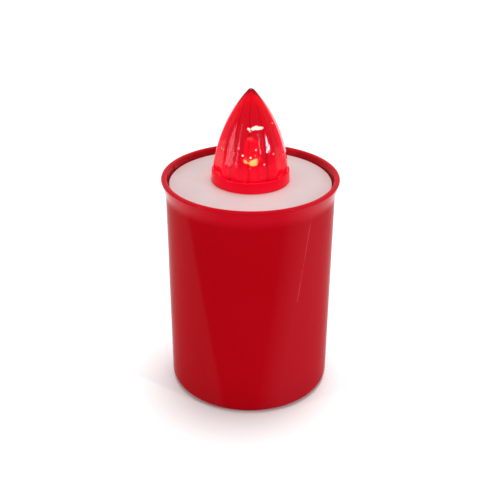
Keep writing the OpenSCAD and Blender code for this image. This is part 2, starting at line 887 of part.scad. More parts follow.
module switch_knob() {
    color([0.1, 0.1, 0.1])
    knob_place() {
        translate([0, 0, slider_z]) box(slider_l, slider_w, slider_h);
        translate([0, 0, knob_tip_z + knob_round])
            box(knob_l, knob_w, slider_z - knob_tip_z - knob_round + eps);
        translate([0, 0, knob_tip_z])
            box(knob_l - 2 * knob_round, knob_w, knob_round + eps);
        for (x = [-knob_l / 2 + knob_round, knob_l / 2 - knob_round])
            translate([x, knob_w / 2, knob_tip_z + knob_round])
            rotate([90, 0, 0])
            cylinder(r = knob_round, h = knob_w);
    }
}

module switch_wiper() {
    color("gold")
    knob_place()
    translate([0, 0, slider_top_z]) {
        box(wiper_l, wiper_w, wiper_t);
        for (x = [-pin_pitch / 2, pin_pitch / 2])
            intersection() {
                translate([x, wiper_w / 2, 0]) rotate([90, 0, 0]) cylinder(r = bump_r, h = wiper_w);
                translate([x, 0, 0]) box(4 * bump_r, wiper_w, 2 * bump_r);
            }
    }
}

// Wires
module wire(route, first) {
    swept(smooth(route, wire_steps), wire_r, first, wire_sides);
}

module wire_red() {
    color("firebrick") wire(red_route, [1, 0, 0]);
}

module wire_white() {
    color("white") wire(white_route, [1, 0, 0]);
}

module wire_black() {
    color([0.08, 0.08, 0.08]) wire(black_route, [1, 0, 0]);
}

cup();
top_plate();
flame_collar();
flame_lens();
led();
led_leads();
led_post();
circuit_board();
flicker_chip();
resistor();
capacitor();
board_screws();
battery_cradle();
cradle_screws();
cell_left();
cell_left_sleeve();
cell_right();
cell_right_sleeve();
bridge_plate();
bridge_spring();
positive_contact();
negative_contact();
negative_spring();
switch_frame();
switch_base();
switch_pins();
switch_screws();
switch_wiper();
switch_knob();
wire_red();
wire_white();
wire_black();
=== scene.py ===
import math
import bmesh
import bpy
import numpy as np
from mathutils import Matrix, Vector


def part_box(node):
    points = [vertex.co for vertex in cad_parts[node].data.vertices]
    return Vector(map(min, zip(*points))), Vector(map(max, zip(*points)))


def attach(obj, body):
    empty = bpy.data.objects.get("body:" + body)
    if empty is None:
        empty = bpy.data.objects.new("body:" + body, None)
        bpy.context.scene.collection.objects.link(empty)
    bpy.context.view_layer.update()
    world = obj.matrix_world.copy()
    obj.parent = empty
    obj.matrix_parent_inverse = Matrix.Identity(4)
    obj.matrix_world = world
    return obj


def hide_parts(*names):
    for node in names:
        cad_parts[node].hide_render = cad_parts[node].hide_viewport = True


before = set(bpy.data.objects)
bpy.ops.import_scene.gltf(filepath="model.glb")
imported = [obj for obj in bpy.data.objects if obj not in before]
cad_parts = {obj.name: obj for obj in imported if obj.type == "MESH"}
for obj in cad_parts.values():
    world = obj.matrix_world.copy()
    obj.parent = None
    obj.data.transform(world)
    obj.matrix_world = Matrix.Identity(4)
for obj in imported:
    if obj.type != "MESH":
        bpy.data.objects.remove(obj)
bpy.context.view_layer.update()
mm = 0.001
bpy.context.scene.view_settings.view_transform = "Standard"
print("frame loaded:", len(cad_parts), "nodes")


def span(node):
    # lowest and highest corner of a node, as arrays
    low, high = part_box(node)
    return np.array(low), np.array(high)


cupLow, cupHigh = span("cup")
plateHigh = span("top_plate")[1]
collarLow, collarHigh = span("flame_collar")
lensLow, lensHigh = span("flame_lens")
ledLow, ledHigh = span("led")
boardLow, boardHigh = span("circuit_board")
cradleHigh = span("battery_cradle")[1]

# where the camera stands and how it looks down on the candle
view = {
    "distance": 316.1 * mm,   # in front of the candle's axis
    "height": 219.9 * mm,
    "downTilt": 27.53,        # degrees
    "roll": 0.40,             # degrees
    "focalLength": 65.66,     # on a 36 mm sensor
}


def makeCamera():
    data = bpy.data.cameras.new("camera")
    data.lens = view["focalLength"]
    data.sensor_width = 36
    camera = bpy.data.objects.new("camera", data)
    bpy.context.scene.collection.objects.link(camera)
    aim = Matrix.Rotation(math.radians(90 - view["downTilt"]), 4, "X")
    twist = Matrix.Rotation(math.radians(view["roll"]), 4, "Z")
    camera.matrix_world = Matrix.Translation((0, -view["distance"], view["height"])) @ aim @ twist
    bpy.context.scene.camera = camera


# an even room, a wide lamp overhead, and two tall panels that give the lens its highlights
studio = {
    "surround": (1.0, 1.0, 1.0),
    "surroundStrength": 0.48,
    "backdropStrength": 1.1,
    "floorColour": (0.92, 0.92, 0.92),
    "floorSize": 6.0,
    "overheadStrength": 2.55,
    "overheadSpread": 32.0,            # degrees
    "overheadTurn": (-9.0, 3.0),        # degrees about X and Y
    # name: place, aimed at, width, height, watts
    "softboxes": {
        "left": ((-0.80, -0.42, 0.29), (0, 0, 0.10), 0.10, 0.54, 2.0),
        "right": ((0.352, -0.281, 0.225), (0, 0, 0.10), 0.012, 0.13, 0.58),
    },
}


def softbox(name, place, target, width, height, watts):
    data = bpy.data.lights.new(name, "AREA")
    data.shape = "RECTANGLE"
    data.size = width
    data.size_y = height
    data.energy = watts
    lamp = bpy.data.objects.new(name, data)
    bpy.context.scene.collection.objects.link(lamp)
    away = Vector(place) - Vector(target)
    lamp.matrix_world = Matrix.Translation(place) @ away.to_track_quat("Z", "Y").to_matrix().to_4x4()


def makeStudio():
    world = bpy.data.worlds.new("studio")
    bpy.context.scene.world = world
    world.use_nodes = True
    sky = world.node_tree.nodes["Background"]
    sky.inputs["Color"].default_value = (*studio["surround"], 1)
    # the backdrop is as white as the floor, though the room lights the candle less than that
    ray = world.node_tree.nodes.new("ShaderNodeLightPath")
    level = world.node_tree.nodes.new("ShaderNodeMapRange")
    level.inputs["To Min"].default_value = studio["surroundStrength"]
    level.inputs["To Max"].default_value = studio["backdropStrength"]
    world.node_tree.links.new(ray.outputs["Is Camera Ray"], level.inputs["Value"])
    world.node_tree.links.new(level.outputs["Result"], sky.inputs["Strength"])
    for name, facts in studio["softboxes"].items():
        softbox(name, *facts)
    data = bpy.data.lights.new("overhead", "SUN")
    data.energy = studio["overheadStrength"]
    data.angle = math.radians(studio["overheadSpread"])
    overhead = bpy.data.objects.new("overhead", data)
    overhead.rotation_euler = (*(math.radians(turn) for turn in studio["overheadTurn"]), 0)
    bpy.context.scene.collection.objects.link(overhead)
    half = studio["floorSize"] / 2
    low = cupLow[2]
    corners = [(-half, -half, low), (half, -half, low), (half, half, low), (-half, half, low)]
    mesh = bpy.data.meshes.new("floor")
    mesh.from_pydata(corners, [], [(0, 1, 2, 3)])
    floor = bpy.data.objects.new("floor", mesh)
    bpy.context.scene.collection.objects.link(floor)
    paper = Finish("paper_floor")
    grain = paper.node("TexNoise", {}, {"Vector": paper.place(), "Scale": 60.0, "Detail": 3.0})
    paper.surface({"Base Color": (*studio["floorColour"], 1), "Roughness": grain * 0.1 + 0.7})
    mesh.materials.append(paper.material)


class Value:
    # a socket that takes part in sums: each operator adds a Math node and gives its socket
    def __init__(self, finish, socket):
        self.finish = finish
        self.socket = socket

    def math(self, operation, *others, swap=False):
        terms = [self, *others]
        if swap:
            terms.reverse()
        return self.finish.node("Math", {"operation": operation}, dict(enumerate(terms)))

    def __add__(self, other):
        return self.math("ADD", other)

    def __sub__(self, other):
        return self.math("SUBTRACT", other)

    def __rsub__(self, other):
        return self.math("SUBTRACT", other, swap=True)

    def __mul__(self, other):
        return self.math("MULTIPLY", other)

    def __truediv__(self, other):
        return self.math("DIVIDE", other)

    def __pow__(self, other):
        return self.math("POWER", other)

    __radd__ = __add__
    __rmul__ = __mul__

    def clamp(self):
        return self.math("MAXIMUM", 0.0).math("MINIMUM", 1.0)

    def above(self, limit):
        return self.math("GREATER_THAN", limit)

    def band(self, centre, half):
        # 1 on the centre, falling to 0 at half a width away
        return (1 - (self - centre).math("ABSOLUTE") / half).clamp()


class Finish:
    # one material and the nodes in it
    def __init__(self, name):
        self.material = bpy.data.materials.new(name)
        self.material.use_nodes = True
        self.nodes = self.material.node_tree.nodes
        self.nodes.clear()
        self.output = self.nodes.new("ShaderNodeOutputMaterial")

    def node(self, kind, settings, sockets, output=0):
        made = self.nodes.new("ShaderNode" + kind)
        for name, value in settings.items():
            if name == "stops":
                self.setRamp(made.color_ramp, value)
            else:
                setattr(made, name, value)
        for name, value in sockets.items():
            if isinstance(value, Value):
                self.material.node_tree.links.new(value.socket, made.inputs[name])
            else:
                made.inputs[name].default_value = value
        return Value(self, made.outputs[output])

    def setRamp(self, ramp, stops):
        while len(ramp.elements) < len(stops):
            ramp.elements.new(0.5)
        for element, (position, colour) in zip(ramp.elements, stops):
            element.position = position
            element.color = (*colour, 1)

    def place(self, scale=(1, 1, 1)):
        where = self.node("TexCoord", {}, {}, output="Object")
        return self.node("Mapping", {}, {"Vector": where, "Scale": scale})

    def axes(self):
        # x, y and z of the point, in millimetres
        where = self.node("TexCoord", {}, {}, output="Object")
        return [self.node("SeparateXYZ", {}, {"Vector": where}, output=i) * 1000.0 for i in range(3)]

    def noise(self, scale, detail=2.0, stretch=(1, 1, 1)):
        return self.node("TexNoise", {}, {"Vector": self.place(stretch), "Scale": scale, "Detail": detail})

    def mix(self, share, first, second):
        return self.node("Mix", {"data_type": "RGBA"}, {0: share, 6: first, 7: second}, output=2)

    def ramp(self, share, stops):
        return self.node("ValToRGB", {"stops": stops}, {"Fac": share})

    def bump(self, height, depth, strength=1.0):
        # depth in millimetres for a height of 1
        return self.node("Bump", {}, {"Height": height, "Distance": depth * mm, "Strength": strength})

    def surface(self, sockets):
        shader = self.node("BsdfPrincipled", {}, sockets)
        self.material.node_tree.links.new(shader.socket, self.output.inputs["Surface"])
        return shader

    def depthTint(self, colour, density):
        # light fades toward the colour as it passes through the wall; density per metre
        volume = self.node("VolumeAbsorption", {}, {"Color": colour, "Density": density})
        self.material.node_tree.links.new(volume.socket, self.output.inputs["Volume"])


def rgb(red, green, blue):
    return (red, green, blue, 1.0)


def rounded(corners, steps=4):
    # a line through (r, z, radius) corners; each corner is a parabola between its two tangent points
    corners = [(*c, 0.0)[:3] for c in corners]
    line = [np.array(corners[0][:2])]
    for before, corner, after in zip(corners, corners[1:], corners[2:]):
        point = np.array(corner[:2])
        if corner[2] == 0:
            line.append(point)
            continue
        toBefore = np.array(before[:2]) - point
        toAfter = np.array(after[:2]) - point
        lengths = np.hypot(*toBefore), np.hypot(*toAfter)
        cosine = np.clip(toBefore @ toAfter / (lengths[0] * lengths[1]), -1, 1)
        reach = min(corner[2] / math.tan(math.acos(cosine) / 2), 0.49 * min(lengths))
        start = point + toBefore / lengths[0] * reach
        end = point + toAfter / lengths[1] * reach
        t = np.linspace(0, 1, steps + 1)[:, None]
        line.extend((1 - t) ** 2 * start + 2 * t * (1 - t) * point + t ** 2 * end)
    line.append(np.array(corners[-1][:2]))
    return np.array(line)


def arc(centre, radius, start, end, steps):
    # points on a circle from one angle to another, in degrees
    angle = np.radians(np.linspace(start, end, steps + 1))
    return np.stack([centre[0] + radius * np.cos(angle), centre[1] + radius * np.sin(angle)], 1)


def gridQuads(rows, columns, wrapRows=False, wrapColumns=True):
    # corners of the quads of a grid of points, row by row
    i = np.arange(rows if wrapRows else rows - 1)[:, None]
    j = np.arange(columns if wrapColumns else columns - 1)[None, :]
    nextRow, nextColumn = (i + 1) % rows, (j + 1) % columns
    quads = [i * columns + j, i * columns + nextColumn, nextRow * columns + nextColumn, nextRow * columns + j]
    return np.stack(np.broadcast_arrays(*quads), -1).reshape(-1, 4).tolist()


def turned(profile, count=192, centre=(0, 0), closed=False):
    # surface of revolution: x = r cos a, y = r sin a, z as in the profile, about an upright axis
    angle = np.linspace(0, 2 * np.pi, count, endpoint=False)[None, :]
    r, z = profile[:, 0, None], profile[:, 1, None]
    points = np.stack([centre[0] + r * np.cos(angle), centre[1] + r * np.sin(angle), z + 0 * angle], -1)
    return points.reshape(-1, 3), gridQuads(len(profile), count, wrapRows=closed)


def block(low, high):
    # a box: low + (high - low) times the corners of a unit cube
    low, high = np.array(low), np.array(high)
    corner = np.array([(x, y, z) for z in (0, 1) for x, y in ((0, 0), (1, 0), (1, 1), (0, 1))])
    quads = [(0, 3, 2, 1), (4, 5, 6, 7), (0, 1, 5, 4), (1, 2, 6, 5), (2, 3, 7, 6), (3, 0, 4, 7)]
    return low + corner * (high - low), quads


def flatEnds(rows, columns):
    # one face on the first row of a grid and one on its last
    return [list(range(columns))[::-1], list(range((rows - 1) * columns, rows * columns))]


def prism(outline, low, high):
    # an upright prism: the closed outline of x, y points at two heights
    count = len(outline)
    bottom = np.column_stack([outline, np.full(count, low)])
    top = np.column_stack([outline, np.full(count, high)])
    return np.vstack([bottom, top]), gridQuads(2, count) + flatEnds(2, count)


def wedge(section, middle, spread, steps=9):
    # part of a turned ring: x = r cos a, y = r sin a for a closed section of r, z, with flat ends
    angle = np.radians(middle + np.linspace(-0.5, 0.5, steps) * spread)[:, None]
    r, z = section[None, :, 0], section[None, :, 1]
    rows = np.stack([r * np.cos(angle), r * np.sin(angle), z + 0 * angle], -1)
    return rows.reshape(-1, 3), gridQuads(steps, len(section)) + flatEnds(steps, len(section))


def tube(path, radius, sides=16):
    # path + radius (cos a side + sin a up): a round section on normals square to the path, ends closed
    path = np.asarray(path, float)
    along = np.gradient(path, axis=0)
    along /= np.linalg.norm(along, axis=1)[:, None]
    helper = np.array([0.31, 0.87, 0.23])
    side = np.cross(along, helper)
    side /= np.linalg.norm(side, axis=1)[:, None]
    up = np.cross(side, along)
    angle = np.linspace(0, 2 * np.pi, sides, endpoint=False)
    ring = np.cos(angle)[None, :, None] * side[:, None] + np.sin(angle)[None, :, None] * up[:, None]
    body = path[:, None] + radius * ring
    start = np.repeat(path[:1, None], sides, 1)
    end = np.repeat(path[-1:, None], sides, 1)
    rows = np.concatenate([start, body, end])
    return rows.reshape(-1, 3), gridQuads(len(rows), sides)


def build(name, shells, creaseAngle=35):
    # one mesh from closed shells; points that coincide are merged and every face is turned outward
    starts = np.cumsum([0] + [len(points) for points, quads in shells])
    faces = [
        [start + corner for corner in face]
        for start, (points, quads) in zip(starts.tolist(), shells) for face in quads
    ]
    mesh = bpy.data.meshes.new(name)
    mesh.from_pydata(np.vstack([points for points, quads in shells]).tolist(), [], faces)
    whole = bmesh.new()
    whole.from_mesh(mesh)
    bmesh.ops.remove_doubles(whole, verts=whole.verts, dist=1e-7)
    bmesh.ops.recalc_face_normals(whole, faces=whole.faces)
    whole.to_mesh(mesh)
    whole.free()
    piece = bpy.data.objects.new(name, mesh)
    bpy.context.scene.collection.objects.link(piece)
    shade(piece, creaseAngle)
    return piece


def shade(piece, creaseAngle=35):
    piece.data.shade_smooth()
    piece.data.set_sharp_from_angle(angle=math.radians(creaseAngle))


def settle(piece):
    # applies the piece's modifiers
    bpy.context.view_layer.update()
    shown = piece.evaluated_get(bpy.context.evaluated_depsgraph_get())
    mesh = bpy.data.meshes.new_from_object(shown)
    piece.modifiers.clear()
    piece.data = mesh


def carve(piece, tool, operation="DIFFERENCE"):
    cut = piece.modifiers.new("carve", "BOOLEAN")
    cut.operation = operation
    cut.solver = "EXACT"
    cut.object = tool
    settle(piece)
    bpy.data.objects.remove(tool)
    shade(piece)


def refined(node, name, edge=0.0, steps=2, smoothing=0, creaseAngle=35):
    # a merged copy of a CAD node with its edges eased, or its facets smoothed
    work = bmesh.new()
    work.from_mesh(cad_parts[node].data)
    bmesh.ops.remove_doubles(work, verts=work.verts, dist=1e-6)
    if not smoothing:
        bmesh.ops.dissolve_limit(work, angle_limit=math.radians(0.6), verts=work.verts, edges=work.edges)
    bmesh.ops.recalc_face_normals(work, faces=work.faces)
    mesh = bpy.data.meshes.new(name)
    work.to_mesh(mesh)
    work.free()
    for extra in ("custom_normal", "sharp_face", "sharp_edge"):
        if extra in mesh.attributes:
            mesh.attributes.remove(mesh.attributes[extra])
    mesh.materials.clear()
    piece = bpy.data.objects.new(name, mesh)
    bpy.context.scene.collection.objects.link(piece)
    if edge:
        ease = piece.modifiers.new("edges", "BEVEL")
        ease.width = edge * mm
        ease.segments = steps
        ease.limit_method = "ANGLE"
        ease.angle_limit = math.radians(40)
        settle(piece)
    if smoothing:
        smooth = piece.modifiers.new("smooth", "SUBSURF")
        smooth.levels = smooth.render_levels = smoothing
        settle(piece)
    shade(piece, creaseAngle)
    return piece


def fit(piece, finish, body, slotName, *nodes):
    piece.data.materials.clear()
    piece.data.materials.append(finish.material)
    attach(piece, body)
    if nodes:
        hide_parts(*nodes)
    return piece


def dress(node, name, edge, finish, body, slotName, **shape):
    # a CAD node with its edges eased, in its finish
    return fit(refined(node, name, edge, **shape), finish, body, slotName, node)


def secondFinish(piece, finish, chosen):
    # chosen(centres, normals) says which faces wear the second finish
    piece.data.materials.append(finish.material)
    facts = []
    for name in ("center", "normal"):
        values = np.empty(len(piece.data.polygons) * 3)
        piece.data.polygons.foreach_get(name, values)
        facts.append(values.reshape(-1, 3))
    piece.data.polygons.foreach_set("material_index", chosen(*facts).astype(int))


cupShape = {
    "flareOut": 1.62, "flareHeight": 8.2, "flarePower": 1.6, "draft": 0.34, "wall": 2.0,
    "floorTop": 2.2, "footRecess": 0.8, "footRing": 2.6, "footRound": 3.0,
    "rimWidth": 2.1, "rimRound": 0.7, "ledgeDepth": 4.8, "mouthTaper": 0.5,
    "windowLength": 17.0, "windowWidth": 9.0,
    "nibAngle": -22.0, "nibSpan": 5.0, "nibHeight": 0.9, "nibRise": 2.8,
    "keyWidth": 3.0, "keyLength": 10.0, "keyDepth": 1.08,
    "segments": 288, "wallRows": 40,
}
cupLook = {
    # flare is a painted sheen: a lifted red for the band under the rim
    "deep": (0.373, 0.0010, 0.0046), "bright": (0.400, 0.0018, 0.0062), "flare": (0.480, 0.0040, 0.0130),
    # left and right are painted reflections: paler red where the sides reflect the floor
    "left": (0.385, 0.0085, 0.0135), "right": (0.425, 0.0105, 0.0185), "scratchGlint": (0.75, 0.22, 0.24),
    # edges of the painted reflections on the sides: x, at this height, lean per height, width of the change
    "leftReflectionEdge": (11.0, 14.0, 0.16, 1.4), "rightReflectionEdge": (6.0, 30.0, 0.11, 9.0),
    "scratchX": 19.7, "scratchZ": 64.0, "scratchLean": 0.13, "scratchHalf": 17.0, "scratchWidth": 0.16,
}


def cupRed():
    red = Finish("cup_red")
    x, y, z = red.axes()
    cloud = red.noise(22.0, 3.0)
    base = red.ramp(cloud, [(0.3, cupLook["deep"]), (0.7, cupLook["bright"])])
    # hairlines from handling: thin ridges of a stretched noise, each only in places
    streak = red.noise(900.0, 2.0, (0.35, 0.35, 0.018))
    patch = red.noise(40.0, 2.0)
    hairline = streak.band(0.5, 0.012) * (patch - 0.52).clamp() * 6.0
    smear = red.noise(34.0, 4.0)
    relief = red.noise(30.0, 1.0, (1, 1, 0.5)) * 0.035 - hairline * 0.004
    # the skin is paler and glossier to both sides of the middle, and duller toward the foot; the paler red is
    # a painted reflection of the floor
    left, right = (
        ((side - at - (z - foot) * lean) / fade).clamp()
        for side, (at, foot, lean, fade) in ((0.0 - x, cupLook["leftReflectionEdge"]), (x, cupLook["rightReflectionEdge"]))
    )
    base = red.mix(left * 0.55, base, rgb(*cupLook["left"]))
    base = red.mix(right * 0.8, base, rgb(*cupLook["right"]))
    # painted sheen: the flare's red is lifted toward the rim, where the band under the rim catches light
    flareSheen = ((z - (cupHigh[2] / mm - cupShape["flareHeight"] + 1.0)) / 3.0).clamp()
    base = red.mix(flareSheen * 0.8, base, rgb(*cupLook["flare"]))
    # one long scratch below the rim, on the front; its pale line is a painted glint
    height = z - cupLook["scratchZ"]
    along = height.band(0.0, cupLook["scratchHalf"]).above(0.02) * (0.0 - y).above(0.0)
    worn = (red.noise(260.0, 2.0) * 3.0 - 0.7).clamp()
    offset = x - cupLook["scratchX"] - height * cupLook["scratchLean"]
    scratchGlint = offset.band(0.0, cupLook["scratchWidth"]) * along * worn
    base = red.mix(scratchGlint * 0.32, base, rgb(*cupLook["scratchGlint"]))
    lines = red.noise(150.0, 1.0, (1, 1, 0.02))
    gloss = (left + right * (lines * 0.8 + 0.35)).clamp()
    upper = ((z - 30.0) / 30.0).clamp() * 0.7 + 0.3
    apart = ((x.math("ABSOLUTE") - 10.0) / 12.0).clamp()
    red.surface({
        "Base Color": base,
        "Roughness": smear * 0.10 + hairline * 0.2 + 0.13,
        "Specular IOR Level": 0.005,
        "Coat Weight": (gloss * upper * 0.13 + flareSheen * apart * 0.8).clamp(),
        "Coat IOR": 1.16,
        "Coat Roughness": 0.12,
        "Normal": red.bump(relief, 1.0),
    })
    return red


def makeCup(red):
    # a turned wall: foot ring, heel, straight draft, flare r = r0 + out t^power, lip, ledge and floor
    counted = ("flarePower", "nibAngle", "nibSpan", "segments", "wallRows")
    s = {key: value * mm for key, value in cupShape.items() if key not in counted}
    rim, top = cupHigh[0], cupHigh[2]
    bodyTop = rim - s["flareOut"]
    bodyFoot = bodyTop - s["draft"]
    flareLow = top - s["flareHeight"]
    ledge = top - s["ledgeDepth"]
    mouth = rim - s["rimWidth"]
    count = cupShape["segments"]
    foot = rounded([
        (0, s["footRecess"]),
        (bodyFoot - s["footRound"] - s["footRing"], s["footRecess"], 0.3 * mm),
        (bodyFoot - s["footRound"] - s["footRing"], 0, 0.25 * mm),
        (bodyFoot - s["footRound"], 0),
    ])
    heel = arc((bodyFoot - s["footRound"], s["footRound"]), s["footRound"], -90, 0, 12)
    climb = np.linspace(0, 1, cupShape["wallRows"])[1:-1]
    wallLine = np.stack([
        bodyFoot + (bodyTop - bodyFoot) * climb,
        s["footRound"] + (flareLow - s["footRound"]) * climb,
    ], 1)
    t = np.linspace(0, 1, 17)
    flare = np.stack([
        bodyTop + s["flareOut"] * t ** cupShape["flarePower"],
        flareLow + (s["flareHeight"] - s["rimRound"]) * t,
    ], 1)
    lip = np.vstack([
        arc((rim - s["rimRound"], top - s["rimRound"]), s["rimRound"], 12, 90, 7),
        arc((mouth + s["rimRound"], top - s["rimRound"]), s["rimRound"], 90, 180, 7),
    ])
    inside = rounded([
        (mouth, top - s["rimRound"] - 0.1 * mm),
        (mouth - s["mouthTaper"], ledge, 0.15 * mm),
        (bodyTop - s["wall"], ledge, 0.2 * mm),
        (bodyFoot - s["wall"], s["floorTop"], 1.0 * mm),
        (0, s["floorTop"]),
    ])
    cup = build("cup_shell", [turned(np.vstack([foot, heel, wallLine, flare, lip, inside]), count)])
    # nibs above the plate's edge and the key rib below the ledge
    plateEdge = mouth - s["mouthTaper"] - 0.15 * mm
    low = ledge + s["nibRise"]
    section = rounded([
        (plateEdge, low), (mouth + s["rimRound"], low), (mouth + s["rimRound"], low + s["nibHeight"]),
        (plateEdge + s["nibHeight"] / 2, low + s["nibHeight"], 0.2 * mm), (plateEdge, low),
    ])[:-1]
    for turn in (0, 180):
        nib = wedge(section, turn + cupShape["nibAngle"], cupShape["nibSpan"])
        carve(cup, build("nib", [nib]), "UNION")
    inner = bodyTop - s["wall"]
    key = block((-s["keyWidth"] / 2, inner - s["keyDepth"], ledge - s["keyLength"]),
                (s["keyWidth"] / 2, inner + s["wall"] / 2, ledge - 0.05 * mm))
    carve(cup, build("key", [key]), "UNION")
    # window in the floor, in line with the switch
    switchLow, switchHigh = span("switch_frame")
    middle = (switchLow + switchHigh) / 2
    half, radius = (s["windowLength"] - s["windowWidth"]) / 2, s["windowWidth"] / 2
    outline = np.vstack([
        arc((middle[0] + half, middle[1]), radius, -90, 90, 20),
        arc((middle[0] - half, middle[1]), radius, 90, 270, 20),
    ])
    carve(cup, build("window", [prism(outline, -mm, s["floorTop"] + mm)]))
    return fit(cup, red, "cup", "cup_red", "cup")


plateShape = {
    "edgeThickness": 2.5, "rise": 0.9, "skirtHeight": 6.0, "skirtThickness": 1.4, "skirtGap": 0.45,
    "edgeRound": 0.5, "hole": 10.7, "underLift": 0.5, "landing": 0.6,
    "pillarRadius": 3.2, "bossRadius": 2.5, "pilotRadius": 1.15, "bossPilot": 1.0,
    "keySlot": 3.8, "rootDepth": 0.3, "segments": 256,
}
plateLook = {
    "cool": (0.545, 0.450, 0.448), "warm": (0.575, 0.478, 0.475), "pink": (0.60, 0.40, 0.39),
    # radius where the pink begins, and over how much it grows
    "wallSoak": (24.0, 9.0), "flameSoak": (14.0, 6.0), "speck": (0.45, 0.33, 0.33), "speckSize": 0.035,
}


def milkyWhite():
    milk = Finish("plate_milky")
    x, y = milk.axes()[:2]
    cloud = milk.noise(55.0, 3.0)
    radius = (x * x + y * y).math("SQRT")
    # warm pink near the flame and the wall, where red light soaks in
    (wallAt, wallFade), (flameAt, flameFade) = plateLook["wallSoak"], plateLook["flameSoak"]
    soak = ((radius - wallAt) / wallFade).clamp() + (1 - (radius - flameAt) / flameFade).clamp()
    tint = milk.ramp(cloud, [(0.35, plateLook["cool"]), (0.65, plateLook["warm"])])
    base = milk.mix(soak.clamp() * 0.5, tint, rgb(*plateLook["pink"]))
    speck = milk.node("TexVoronoi", {}, {"Vector": milk.place(), "Scale": 95.0, "Randomness": 1.0})
    dot = (1 - speck / plateLook["speckSize"]).clamp() * (milk.noise(60.0) - 0.56).clamp() * 12.0
    base = milk.mix(dot.clamp() * 0.5, base, rgb(*plateLook["speck"]))
    relief = milk.noise(420.0, 3.0) * 0.012 + milk.noise(38.0, 1.0) * 0.05
    milk.surface({
        "Base Color": base,
        "Roughness": cloud * 0.12 + 0.30,
        "Specular IOR Level": 0.35,
        "Subsurface Weight": 0.25,
        "Subsurface Radius": (1.0, 0.45, 0.4),
        "Subsurface Scale": 2.0 * mm,
        "Normal": milk.bump(relief, 1.0),
    })
    return milk


def makePlate(milk):
    # a turned plate with a dome z = seat - rise t^2 and a skirt, then its pillars and bosses
    s = {key: value * mm for key, value in plateShape.items() if key != "segments"}
    edge = plateHigh[0]
    seat = plateHigh[2]
    edgeTop = seat - s["rise"]
    ledge = edgeTop - s["edgeThickness"]
    under = ledge + s["underLift"]
    skirt = cupHigh[0] - (cupShape["flareOut"] + cupShape["wall"]) * mm - s["skirtGap"]
    landing = collarHigh[0] + s["landing"]
    t = np.linspace(0, 1, 24)
    dome = np.stack([landing + (edge - s["edgeRound"] - landing) * t, seat - s["rise"] * t * t], 1)
    profile = np.vstack([
        [(s["hole"], seat)],
        dome,
        arc((edge - s["edgeRound"], edgeTop - s["edgeRound"]), s["edgeRound"], 80, 0, 8),
        rounded([
            (edge, ledge + 0.3 * mm), (edge, ledge, 0.2 * mm), (skirt, ledge, 0.2 * mm),
            (skirt, ledge - s["skirtHeight"], 0.4 * mm),
            (skirt - s["skirtThickness"], ledge - s["skirtHeight"], 0.4 * mm),
            (skirt - s["skirtThickness"], under, 0.5 * mm),
            (s["hole"], under, 0.2 * mm), (s["hole"], under + 0.4 * mm),
        ]),
    ])
    plate = build("milky_plate", [turned(profile, plateShape["segments"], closed=True)])
    screwLow, screwHigh = span("cradle_screws")
    pillarX = (screwHigh[0] - screwLow[0]) / 2 - headRadius("cradle_screws")
    pillarY = (screwHigh[1] - screwLow[1]) / 2 - headRadius("cradle_screws")
    bossX = span("board_screws")[1][0] - headRadius("board_screws")
    rooted = under + s["rootDepth"]
    pillars = [
        turned(sleeveProfile(s["pillarRadius"], s["pilotRadius"], cradleHigh[2], rooted), 48, (px, py), True)
        for px in (-pillarX, pillarX) for py in (-pillarY, pillarY)
    ]
    bosses = [
        turned(sleeveProfile(s["bossRadius"], s["bossPilot"], boardHigh[2], rooted), 48, (px, 0), True)
        for px in (-bossX, bossX)
    ]
    slotCut = block((-s["keySlot"] / 2, skirt - 2 * s["skirtThickness"], ledge - 2 * s["skirtHeight"]),
                    (s["keySlot"] / 2, skirt + s["skirtThickness"], ledge - 0.01 * mm))
    carve(plate, build("slot", [slotCut]))
    for shell in pillars + bosses:
        carve(plate, build("pillar", [shell]), "UNION")
    return fit(plate, milk, "insert", "plate_white", "top_plate")


screwShape = {"cradle_screws": 1.1, "board_screws": 0.95, "headRatio": 2.1}


def headRadius(node):
    # the heads are the widest part of the screws in a node, so its box ends at a head's edge
    return screwShape[node] * screwShape["headRatio"] * mm


def sleeveProfile(outer, inner, low, high):
    # wall of a round boss with a bore, eased at its open end
    return rounded([
        (inner, high), (inner, low, 0.2 * mm), (outer, low, 0.3 * mm), (outer, high), (inner, high),
    ])[:-1]


collarShape = {
    "draft": 0.25, "floor": 1.0, "socket": 13.5, "spigot": 10.6, "spigotWall": 1.2,
    "edgeRound": 0.35, "lugs": 3, "lugSpan": 24.0, "lugOut": 0.8, "lugHeight": 1.0, "lugTurn": 30.0,
    "segments": 192,
}


def collarRed():
    red = Finish("collar_red")
    cloud = red.noise(60.0, 2.0)
    base = red.ramp(cloud, [(0.3, (0.72, 0.0010, 0.012)), (0.7, (0.78, 0.0020, 0.016))])
    # painted glow: the collar shines red as if the LED's light came through it
    light = red.ramp(cloud, [(0.2, (0.75, 0.002, 0.016)), (0.8, (1.0, 0.006, 0.030))])
    red.surface({
        "Base Color": base,
        "Roughness": cloud * 0.08 + 0.14,
        "Specular IOR Level": 0.08,
        "Emission Color": light,
        "Emission Strength": 0.22,
        "Normal": red.bump(red.noise(45.0, 1.0), 0.04),
    })
    return red


